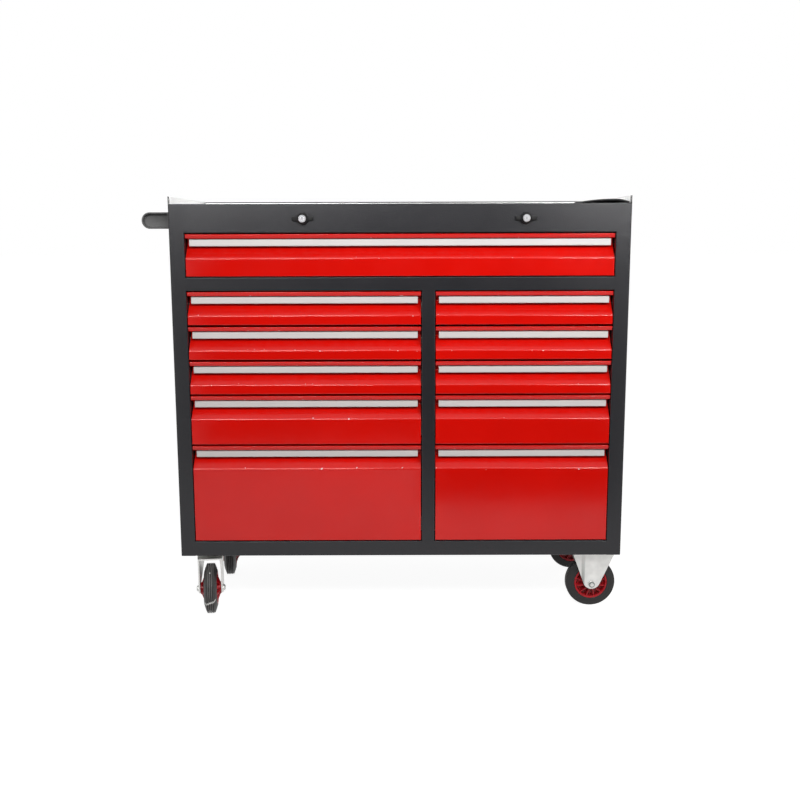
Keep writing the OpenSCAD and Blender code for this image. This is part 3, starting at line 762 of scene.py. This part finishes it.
class CABINET_OT_drawers(bpy.types.Operator):
    """Builds the drawers: a folded front on a box"""

    bl_idname = "cabinet.drawers"
    bl_label = "Drawers"

    def execute(self, context):
        sizes = context.scene.cabinet_sizes
        half, side_room = sizes.sheet / 2, sizes.slide_room + sizes.sheet / 2
        rub_high, rub_deep = 3.5 * MM, 8.0 * MM
        for name in DRAWERS:
            low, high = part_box(name + "_box")
            bm = bmesh.new()
            y0, y1 = low.y + half, low.y + half + sizes.recess
            y_lip, y_return = y0 + sizes.lip_lean, low.y + sizes.front_return
            lip, top, foot = high.z - sizes.lip, high.z - half - sizes.lip_drop, low.z + half
            crease = high.z - sizes.crease
            section = [
                (y_lip + sizes.lip_hem, lip), (y_lip, lip), (y0, top), (y1, top), (y1, crease + sizes.recess),
                (y0, crease), (y0, foot), (y_return, foot),
            ]
            fold(bm, section, low.x, high.x, sizes.bend, sizes.soft_bend)
            slope = crease + y_return - y0
            for x in (low.x + half, high.x - half):
                panel(bm, [(x, y0, foot), (x, y_return, foot), (x, y_return, slope), (x, y0, crease)])
            box_low = Vector((low.x + side_room, y1 + sizes.sheet, foot + sizes.box_lift))
            box_high = Vector((high.x - side_room, high.y - half, high.z - sizes.box_drop))
            self.tray(bm, box_low, box_high, sizes)
            rubbed = bm.verts.layers.float.new("rubbed")
            for vert in bm.verts:
                at_edge = min(abs(vert.co.z - crease), abs(vert.co.z - lip)) < rub_high
                vert[rubbed] = float(at_edge and vert.co.y < y0 + rub_deep)
            piece(
                name + "_shell", bm, "drawer_red", name, (name + "_box",), thick=sizes.sheet, edge=sizes.edge,
                smooth=40.0,
            )
        return {"FINISHED"}

    def tray(self, bm, low, high, sizes):
        """Open box with round corners and a hem folded in along its top."""
        middle, span, gap = (low + high) / 2, high - low, 2.2 * sizes.sheet
        verts = block(bm, low, high)
        lid = [f for f in {f for v in verts for f in v.link_faces} if f.normal.z > 0.5]
        bmesh.ops.delete(bm, geom=lid, context="FACES_ONLY")
        rims = [e for e in edges_of(verts) if e.is_boundary]
        hem = bmesh.ops.extrude_edge_only(bm, edges=rims)["geom"]
        shrink = Vector((1 - 2 * gap / span.x, 1 - 2 * gap / span.y, 1.0))
        bmesh.ops.scale(bm, vec=shrink, space=Matrix.Translation(-middle), verts=verts_in(hem))
        rims = [g for g in hem if isinstance(g, bmesh.types.BMEdge) and g.is_boundary]
        hem = bmesh.ops.extrude_edge_only(bm, edges=rims)["geom"]
        bmesh.ops.translate(bm, verts=verts_in(hem), vec=(0, 0, -sizes.box_hem))
        rounded(bm, [e for e in edges_of(verts) if len(e.link_faces) == 2], sizes.bend, steps=3)


class CABINET_OT_pulls(bpy.types.Operator):
    """Builds the aluminium pull strips"""

    bl_idname = "cabinet.pulls"
    bl_label = "Pulls"

    def execute(self, context):
        sizes = context.scene.cabinet_sizes
        half, curl_deep, curl_high = sizes.pull_thick / 2, 5.0 * MM, 3.2 * MM
        for name in DRAWERS:
            low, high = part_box(name + "_pull")
            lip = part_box(name + "_box")[1].z - sizes.lip
            y0, top, foot = low.y + half, lip - sizes.pull_gap - half, low.z + half - sizes.pull_reach
            front = y0 - sizes.pull_lean
            curl = front + curl_deep
            bm = bmesh.new()
            section = [(high.y, top), (y0, top), (front, foot), (curl, foot), (curl, foot + curl_high)]
            fold(bm, section, low.x, high.x, sizes.bend)
            piece(
                name + "_pull_strip", bm, "pull_aluminium", name, (name + "_pull",), thick=sizes.pull_thick,
                edge=0.2 * MM, smooth=40.0,
            )
        return {"FINISHED"}


class CABINET_OT_slides(bpy.types.Operator):
    """Gives the slides their zinc finish"""

    bl_idname = "cabinet.slides"
    bl_label = "Slides"

    def execute(self, context):
        for node in ["slide_channels"] + [name + "_runners" for name in DRAWERS]:
            slots = frame["nodes"][node].data.materials
            slots.clear()
            slots.append(finish("slide_zinc"))
        return {"FINISHED"}


class CABINET_OT_locks(bpy.types.Operator):
    """Builds the winged lock knobs and their key barrels"""

    bl_idname = "cabinet.locks"
    bl_label = "Locks"

    def execute(self, context):
        hub, bore, wing_high, wing_deep = 13.5 * MM, 8.6 * MM, 5.5 * MM, 9.0 * MM
        for name in LOCKS:
            low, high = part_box(name + "_knob")
            middle = centre(name + "_knob")
            rear, front, reach = high.y - middle.y, low.y - middle.y, (high.x - low.x) / 2
            place = Matrix.Translation(middle)
            bm = bmesh.new()
            profile = [
                (bore, rear), (hub, rear), (hub, rear - 3 * MM), (hub - 0.9 * MM, rear - 4 * MM),
                (hub - 1.3 * MM, front + 2.0 * MM), (hub - 2.6 * MM, front + 0.5 * MM),
                (hub - 3.6 * MM, front), (bore + 0.8 * MM, front), (bore, front + 0.8 * MM), (bore, rear),
            ]
            spun(bm, profile, place)
            for side in (-1, 1):
                near, far = sorted((side * (bore + 2.2 * MM), side * reach))
                self.wing(bm, (near, rear - wing_deep, -wing_high), (far, rear, wing_high), side, place)
            piece(name + "_winged_knob", bm, "lock_black", name, (name + "_knob",), smooth=38.0)
            self.barrel(name, middle)
        return {"FINISHED"}

    def wing(self, bm, low, high, side, place):
        """Thumb wing that thins towards its tip."""
        thinner, lean = 0.82, 2.5 * MM
        verts = block(bm, low, high, matrix=place)
        tip = place @ Vector(((high if side > 0 else low)[0], 0, 0))
        for vert in verts:
            if abs(vert.co.x - tip.x) < 0.1 * MM:
                vert.co.z = tip.z + (vert.co.z - tip.z) * thinner
                if vert.co.y < place.translation.y:
                    vert.co.y += lean
        rounded(bm, edges_of(verts), width=1.0 * MM, steps=3)

    def barrel(self, name, middle):
        """Key face with its keyway, shank and cam."""
        low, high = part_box(name + "_barrel")
        face, shank, neck, cam, groove = 8.5 * MM, 9.5 * MM, -0.4 * MM, 2.5 * MM, 0.35 * MM
        front, sunk = low.y, low.y + 0.1 * MM
        collar, cam_front = BODY_LOW.y + neck, high.y - cam
        bm = bmesh.new()
        profile = [
            (0, cam_front), (shank, cam_front), (shank, collar), (face, collar), (face, front + 0.7 * MM),
            (face - 0.7 * MM, front), (face - 1.6 * MM, front), (face - 1.9 * MM, front + groove),
            (face - 2.4 * MM, front + groove), (face - 2.7 * MM, sunk), (0, sunk),
        ]
        spun(bm, profile, Matrix.Translation((middle.x, 0, middle.z)))
        cam_half, cam_back = 6 * MM, 4 * MM
        block(
            bm, (middle.x - cam_back, cam_front, middle.z - cam_half), (high.x, high.y, middle.z + cam_half),
            edge=0.8 * MM,
        )
        piece(name + "_key_barrel", bm, "lock_chrome", name, (name + "_barrel",), smooth=30.0)
        bm = bmesh.new()
        slot_front = front - 0.02 * MM
        slot = Vector((0.5 * MM, 0.0, 3.0 * MM))
        start = Vector((middle.x, slot_front, middle.z))
        end = start + slot + Vector((0.0, 0.3 * MM, 0.0))
        block(bm, start - slot, end, edge=0.12 * MM, steps=1)
        piece(name + "_keyway", bm, "lock_black", name)


class CABINET_OT_handle(bpy.types.Operator):
    """Builds the push handle with its end brackets"""

    bl_idname = "cabinet.handle"
    bl_label = "Push Handle"

    def execute(self, context):
        sizes = context.scene.cabinet_sizes
        low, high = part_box("push_handle")
        radius = (high.z - low.z) / 2
        axis = Vector((low.x + radius, 0, (low.z + high.z) / 2))
        deep, flange_wide, flange_thick = 18 * MM, 40 * MM, 4 * MM
        flange = high.x - flange_thick
        bm = bmesh.new()
        for y, back in ((low.y, 1), (high.y, -1)):
            self.cup(bm, axis, radius, y, back * deep, flange, sizes.bracket_wall)
            near, far = sorted((y, y + back * flange_wide))
            block(bm, (flange, near, low.z), (high.x, far, high.z), edge=1.2 * MM, steps=3)
        piece("push_handle_brackets", bm, "handle_black", "cabinet", ("push_handle",), smooth=35.0)
        bm = bmesh.new()
        tube, sunk = sizes.tube / 2, 3.0 * MM
        start, end = low.y + deep - sunk, high.y - deep + sunk
        collar = tube + 1.6 * MM
        cap = [(0, 0), (collar, 0), (collar, 8 * MM), (collar - 0.8 * MM, 9 * MM), (tube, 9.4 * MM)]
        profile = [(r, start + along) for r, along in cap] + [(r, end - along) for r, along in cap[::-1]]
        spun(bm, profile, Matrix.Translation((axis.x, 0, axis.z)), steps=48)
        piece("push_handle_tube", bm, "handle_black", "cabinet", smooth=30.0)
        bm = bmesh.new()
        screw_back, screw_in = 30 * MM, 9 * MM
        for y in (low.y + screw_back, high.y - screw_back):
            for z in (low.z + screw_in, high.z - screw_in):
                bolt(bm, (flange, y, z), (-1, 0, 0), across=8 * MM, height=3.2 * MM, washer=11 * MM)
        piece("push_handle_screws", bm, "caster_zinc", "cabinet", smooth=30.0)
        return {"FINISHED"}

    def cup(self, bm, axis, radius, y, deep, end, wall):
        """Half-round cup that opens at y and runs back to its floor."""
        sharp_turn, many = 0.8, 20
        seen = set(bm.verts)
        top = bm.verts.new((axis.x, y, axis.z + radius))
        bmesh.ops.spin(
            bm, geom=[top], cent=(axis.x, y, axis.z), axis=(0, 1, 0), dvec=(0, 0, 0), angle=-math.pi, steps=28
        )
        arc = added(bm, seen)
        ends = [v for v in arc if len(v.link_edges) < 2]
        tips = [bm.verts.new((end, y, v.co.z)) for v in ends]
        edges = [bm.edges.new(pair) for pair in zip(ends, tips)] + [bm.edges.new(tips)]
        face = bmesh.ops.edgeloop_fill(bm, edges=edges + list(edges_of(arc) - set(edges)))["faces"]
        grown = bmesh.ops.extrude_face_region(bm, geom=face)["geom"]
        bmesh.ops.translate(bm, verts=verts_in(grown), vec=(0, deep, 0))
        mouth = [f for f in bm.faces if len(f.verts) > many and all(abs(v.co.y - y) < 1e-6 for v in f.verts)]
        bmesh.ops.inset_region(bm, faces=mouth, thickness=wall, use_even_offset=True)
        hollow = bmesh.ops.extrude_face_region(bm, geom=mouth)["geom"]
        bmesh.ops.translate(bm, verts=verts_in(hollow), vec=(0, deep - math.copysign(wall, deep), 0))
        bmesh.ops.delete(bm, geom=[f for f in mouth if f.is_valid], context="FACES_ONLY")
        fresh = added(bm, seen)
        bmesh.ops.recalc_face_normals(bm, faces=list({f for v in fresh for f in v.link_faces}))
        shared = [e for e in edges_of(fresh) if len(e.link_faces) == 2]
        sharp = [e for e in shared if e.calc_face_angle() > sharp_turn]
        rounded(bm, sharp, width=1.1 * MM, steps=3)


class CABINET_OT_wheels(bpy.types.Operator):
    """Builds the tyres and the ribbed rims"""

    bl_idname = "cabinet.wheels"
    bl_label = "Wheels"

    def execute(self, context):
        for name in CASTERS:
            matrix = caster_turn(name)
            self.tyre(name, matrix, context.scene.cabinet_sizes)
            self.rim(name, matrix)
        return {"FINISHED"}

    def tyre(self, name, matrix, sizes):
        """Tyre with a grooved, worn tread, sloped shoulders and a line on each side."""
        low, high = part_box(name + "_tyre")
        radius, tread = (high.z - low.z) / 2, sizes.tread / 2
        grooves, deep, half_wide, steps, line_at = 4, 2.6 * MM, 1.05 * MM, 8, 2
        pitch = sizes.tread / grooves
        wall = [
            (radius - 0.15 * MM, half_wide + 0.5 * MM), (radius - 0.5 * MM, half_wide),
            (radius - deep, half_wide - 0.2 * MM),
        ]
        across = []
        for i in range(grooves):
            middle = (i - (grooves - 1) / 2) * pitch
            across += [(r, middle - along) for r, along in wall]
            across += [(r, middle + along) for r, along in wall[::-1]]
            if i < grooves - 1:
                across.append((radius, middle + pitch / 2))
        side = [(RIM_RADIUS, WHEEL_HALF - 1.0 * MM), (RIM_RADIUS + 0.8 * MM, WHEEL_HALF - 0.1 * MM)]
        for step in range(steps):
            along = step / steps
            sink = 0.5 * MM if step == line_at else 0.0
            slope = WHEEL_HALF - (WHEEL_HALF - tread) * along ** 1.2
            side.append((radius - sizes.shoulder * (1 - along), slope - sink))
        side += [(radius - 0.7 * MM, tread + 0.1 * MM), (radius - 0.15 * MM, tread - 0.6 * MM)]
        other = [(r, -along) for r, along in side]
        bm = bmesh.new()
        spun(bm, other + across + side[::-1] + other[:1], matrix, steps=96)
        worn = bm.verts.layers.float.new("worn")
        back = matrix.inverted()
        for vert in bm.verts:
            local = back @ vert.co
            vert[worn] = float(math.hypot(local.x, local.z) > radius - 0.3 * MM)
        piece(name + "_tyre_ribbed", bm, "tyre_rubber", name + "_wheel", (name + "_tyre",), smooth=34.0)

    def rim(self, name, matrix):
        """Rim with a hub, a web and ribs on both sides."""
        ring, web, hub, hub_half, bore = 36.2 * MM, 3 * MM, 15 * MM, 25 * MM, 5.05 * MM
        rounding, chamfer = 1.0 * MM, 1.2 * MM
        lip = [
            (ring, web), (ring, WHEEL_HALF - rounding), (ring + rounding, WHEEL_HALF),
            (RIM_RADIUS - rounding, WHEEL_HALF), (RIM_RADIUS - 0.1 * MM, WHEEL_HALF - rounding),
        ]
        cone = [(bore, hub_half), (hub - chamfer, hub_half), (hub, hub_half - chamfer), (hub + 1.4 * MM, web)]
        bm = bmesh.new()
        spun(bm, cone + lip + mirrored(lip) + mirrored(cone) + cone[:1], matrix, steps=72)
        ribs, rib_half, rib_thick, taper = 12, 23.0 * MM, 1.2 * MM, 0.6
        for i in range(ribs):
            rib_low = (hub - 0.6 * MM, -rib_half, -rib_thick)
            verts = block(bm, rib_low, (ring + 0.8 * MM, rib_half, rib_thick))
            for vert in verts:
                if vert.co.x > ring:
                    vert.co.y *= taper
            spoke = matrix @ Matrix.Rotation(2 * math.pi * (i + 0.5) / ribs, 4, "Y")
            bmesh.ops.transform(bm, matrix=spoke, verts=verts)
        piece(name + "_rim_ribbed", bm, "rim_red", name + "_wheel", (name + "_rim",), smooth=34.0)


class CABINET_OT_casters(bpy.types.Operator):
    """Builds the caster forks, plates and bolts"""

    bl_idname = "cabinet.casters"
    bl_label = "Casters"

    def execute(self, context):
        edge, smooth = 0.5 * MM, 30.0
        copied("caster_plates", "caster_plates_pressed", "caster_zinc", edge, smooth)
        copied("fixed_forks", "fixed_forks_pressed", "caster_zinc", edge, smooth, change=self.press_line)
        for name in SWIVELS:
            splay = self.splay(caster_turn(name))
            copied(name + "_fork", name + "_fork_pressed", "caster_zinc", edge, smooth, splay)
        for name in CASTERS:
            self.axle_bolts(name)
        self.plate_bolts(context.scene.cabinet_sizes.bolt)
        return {"FINISHED"}

    def axle_bolts(self, name):
        """Bolt heads on both legs of a fork, with dark washers."""
        leg, washer_end, washer_dark = 32.9 * MM, 33.6 * MM, 1.15
        bm = bmesh.new()
        ring = bm.verts.layers.float.new("press_line")
        matrix = caster_turn(name)
        back = matrix.inverted()
        for side in (-1, 1):
            place = matrix @ Vector((0, side * leg, 0))
            axis = matrix.to_3x3() @ Vector((0, side, 0))
            bolt(bm, place, axis, across=9.0 * MM, height=2.0 * MM, washer=15.4 * MM, under=0.6 * MM)
        # The washers get the same darkening that paints the shade of the forks' pressed line
        for vert in bm.verts:
            vert[ring] = washer_dark * (abs((back @ vert.co).y) < washer_end)
        body = name if name in SWIVELS else "cabinet"
        piece(name + "_axle_bolts", bm, "caster_zinc", body, smooth=30.0)

    def plate_bolts(self, across):
        """Bolts that hold the casters' plates to the floor of the cabinet."""
        plate, head, washer = 4 * MM, 5 * MM, 16 * MM
        pitches = {"caster_plates": (32 * MM, 46 * MM), "fixed_forks": (46 * MM, 17 * MM)}
        bm = bmesh.new()
        for node, (pitch_x, pitch_y) in pitches.items():
            x = centre(node).x
            for y in (BODY_LOW.y + CASTER_INSET, BODY_HIGH.y - CASTER_INSET):
                for aside in (-pitch_x, pitch_x):
                    for along in (-pitch_y, pitch_y):
                        spot = (x + aside, y + along, BODY_LOW.z - plate)
                        bolt(bm, spot, (0, 0, -1), across, head, washer)
        piece("caster_plate_bolts", bm, "caster_zinc", "cabinet", smooth=30.0)

    def press_line(self, bm):
        """Shallow pressed line down the legs of the fixed forks, marked for painted shade along it."""
        half, deep = 2.6 * MM, 0.8 * MM
        line_x, below = centre("front_fixed_tyre").x - 21 * MM, BODY_LOW.z - 5 * MM
        # Mask of painted shade along the pressed line
        mask = bm.verts.layers.float.new("press_line")
        for step in (-5.5 * MM, -half, half, 4 * MM):
            bmesh.ops.bisect_plane(
                bm, geom=[*bm.verts, *bm.edges, *bm.faces], plane_co=(line_x + step, 0, 0), plane_no=(1, 0, 0)
            )
        middles = [centre(name + "_tyre").y for name in FIXED]
        for vert in bm.verts:
            if abs(vert.co.x - line_x) < half + 0.1 * MM and vert.co.z < below:
                vert[mask] = 1.0
                middle = min(middles, key=lambda y: abs(y - vert.co.y))
                vert.co.y += math.copysign(deep, middle - vert.co.y)

    def splay(self, matrix):
        """Spreads the legs of a fork from the axle towards its leading edge."""
        crown = 12 * MM
        back = matrix.inverted()

        def moved(point):
            local = back @ point
            share = min(1.0, max(0.0, (abs(local.y) - crown) / crown))
            local.y += math.copysign(max(0.0, -local.x) * math.tan(LEG_SPLAY) * share, local.y)
            return matrix @ local

        return moved


class CABINET_OT_stage(bpy.types.Operator):
    """Sets up the floor, the light and the camera"""

    bl_idname = "cabinet.stage"
    bl_label = "Stage"

    def execute(self, context):
        stage = context.scene.cabinet_stage
        self.floor()
        self.card("dark_card", BODY_LOW.y - 1.9, left=-0.85, right=1.02, top=1.1)
        self.card("low_card", BODY_LOW.y - 1.05, left=0.12, right=0.80, top=0.55)
        self.world(context.scene, stage)
        self.lamps(stage.lamp_power)
        view = bpy.data.cameras.new("camera")
        view.lens, view.sensor_width, view.sensor_fit = stage.lens, 36.0, "HORIZONTAL"
        view.clip_start, view.clip_end = 0.01, 200.0
        camera = bpy.data.objects.new("camera", view)
        camera.location = Vector(((BODY_LOW.x + BODY_HIGH.x) / 2, BODY_LOW.y, 0)) + Vector(stage.camera_place)
        tilt = Matrix.Rotation(math.pi / 2 - stage.camera_dip, 4, "X")
        camera.rotation_euler = (tilt @ Matrix.Rotation(stage.camera_roll, 4, "Z")).to_euler()
        context.scene.collection.objects.link(camera)
        context.scene.camera = camera
        context.scene.view_settings.view_transform = "Standard"
        return {"FINISHED"}

    def seen(self, tree):
        """1 for camera, glossy and transmission rays."""
        path = put(tree, "ShaderNodeLightPath")
        total = math_node(tree, "ADD", path.outputs["Is Camera Ray"], path.outputs["Is Glossy Ray"], True)
        return math_node(tree, "ADD", total, path.outputs["Is Transmission Ray"], True)

    def floor(self):
        """White floor that keeps the cabinet's shadow."""
        bm = bmesh.new()
        bmesh.ops.create_grid(bm, x_segments=1, y_segments=1, size=40.0)
        mesh = to_mesh("floor", bm)
        material = bpy.data.materials.new("floor")
        material.use_nodes = True
        tree = material.node_tree
        tree.nodes.clear()
        lit = put(tree, "ShaderNodeBsdfDiffuse", {"Color": (0.40, 0.40, 0.40, 1.0)})
        glow = put(tree, "ShaderNodeEmission", {"Color": WHITE, "Strength": 0.93})
        both = put(tree, "ShaderNodeAddShader", {0: lit.outputs[0], 1: glow.outputs[0]})
        mixed = put(tree, "ShaderNodeMixShader", {0: self.seen(tree), 1: lit.outputs[0], 2: both.outputs[0]})
        put(tree, "ShaderNodeOutputMaterial", {"Surface": mixed.outputs[0]})
        mesh.materials.append(material)
        floor = bpy.data.objects.new("floor", mesh)
        bpy.context.scene.collection.objects.link(floor)

    def card(self, name, y, left, right, top):
        """Dark card in front of the cabinet, which only its gloss paint mirrors."""
        bm = bmesh.new()
        panel(bm, [(left, y, 0.0), (right, y, 0.0), (right, y, top), (left, y, top)])
        mesh = to_mesh(name, bm)
        material = bpy.data.materials.new(name)
        material.use_nodes = True
        shader = material.node_tree.nodes["Principled BSDF"]
        wire(material.node_tree, shader, Base_Color=(0.02, 0.02, 0.02, 1.0), Roughness=0.9)
        mesh.materials.append(material)
        card = bpy.data.objects.new(name, mesh)
        card.visible_camera = card.visible_diffuse = card.visible_transmission = card.visible_shadow = False
        bpy.context.scene.collection.objects.link(card)

    def world(self, scene, stage):
        """White for rays that look at it, and an even dim light for the rest."""
        world = bpy.data.worlds.new("studio")
        world.use_nodes = True
        tree = world.node_tree
        tree.nodes.clear()
        light = put(tree, "ShaderNodeBackground", {"Color": WHITE, "Strength": stage.room_light})
        white = put(tree, "ShaderNodeBackground", {"Color": WHITE, "Strength": 1.0})
        mixed = put(
            tree, "ShaderNodeMixShader", {0: self.seen(tree), 1: light.outputs[0], 2: white.outputs[0]}
        )
        put(tree, "ShaderNodeOutputWorld", {"Surface": mixed.outputs[0]})
        scene.world = world

    def lamps(self, power):
        """Strip lamps that only shine in glossy surfaces, and one broad lamp for everything else."""
        high, low = Vector((0.033, -0.2, 2.0)), Vector((0.033, -0.2, 1.25))
        for name, place, wide, tall, share in (
            ("left_strip", (-0.70, -2.4, 1.55), 1.2, 0.3, 1.16),
            ("right_strip", (1.25, -2.4, 1.55), 1.0, 0.3, 1.38),
            ("top_strip", (0.03, -2.0, 2.60), 1.2, 0.6, 0.25),
            ("left_spot", (-0.81, -2.0, 1.08), 0.1, 0.1, 0.025),
            ("right_spot", (0.88, -2.0, 1.08), 0.1, 0.1, 0.045),
        ):
            self.lamp(name, place, high, wide, tall, power * share).visible_diffuse = False
        broad = self.lamp("front_lamp", (0.42, -1.84, 1.62), low, wide=2.2, tall=0.5, power=power * 1.54)
        broad.visible_glossy = False

    def lamp(self, name, place, aim, wide, tall, power):
        light = bpy.data.lights.new(name, "AREA")
        light.shape, light.size, light.size_y, light.energy = "RECTANGLE", wide, tall, power
        made = bpy.data.objects.new(name, light)
        made.location = place
        made.rotation_euler = (aim - Vector(place)).to_track_quat("-Z", "Y").to_euler()
        bpy.context.scene.collection.objects.link(made)
        return made


class CABINET_PT_sidebar(bpy.types.Panel):
    """Sizes, colours and steps of the cabinet"""

    bl_idname = "CABINET_PT_sidebar"
    bl_label = "Rolling Tool Cabinet"
    bl_space_type = "VIEW_3D"
    bl_region_type = "UI"
    bl_category = "Cabinet"

    def draw(self, context):
        layout = self.layout
        for group in SETTINGS:
            settings = getattr(context.scene, group)
            box = layout.box()
            for name in settings.__annotations__:
                box.prop(settings, name)
        for operator in OPERATORS:
            layout.operator(operator.bl_idname)


OPERATORS = (
    CABINET_OT_body, CABINET_OT_worktop, CABINET_OT_drawers, CABINET_OT_pulls, CABINET_OT_slides,
    CABINET_OT_locks, CABINET_OT_handle, CABINET_OT_wheels, CABINET_OT_casters, CABINET_OT_stage,
)
SETTINGS = {"cabinet_sizes": CabinetSizes, "cabinet_colours": CabinetColours, "cabinet_stage": CabinetStage}


def register():
    for cls in (*SETTINGS.values(), *OPERATORS, CABINET_PT_sidebar):
        bpy.utils.register_class(cls)
    for name, cls in SETTINGS.items():
        setattr(bpy.types.Scene, name, bpy.props.PointerProperty(type=cls))


def unregister():
    for name in SETTINGS:
        delattr(bpy.types.Scene, name)
    for cls in (CABINET_PT_sidebar, *reversed(OPERATORS), *reversed(SETTINGS.values())):
        bpy.utils.unregister_class(cls)


def main():
    register()
    bpy.ops.cabinet.body()
    bpy.ops.cabinet.worktop()
    bpy.ops.cabinet.drawers()
    bpy.ops.cabinet.pulls()
    bpy.ops.cabinet.slides()
    bpy.ops.cabinet.locks()
    bpy.ops.cabinet.handle()
    bpy.ops.cabinet.wheels()
    bpy.ops.cabinet.casters()
    bpy.ops.cabinet.stage()


if __name__ == "__main__":
    main()
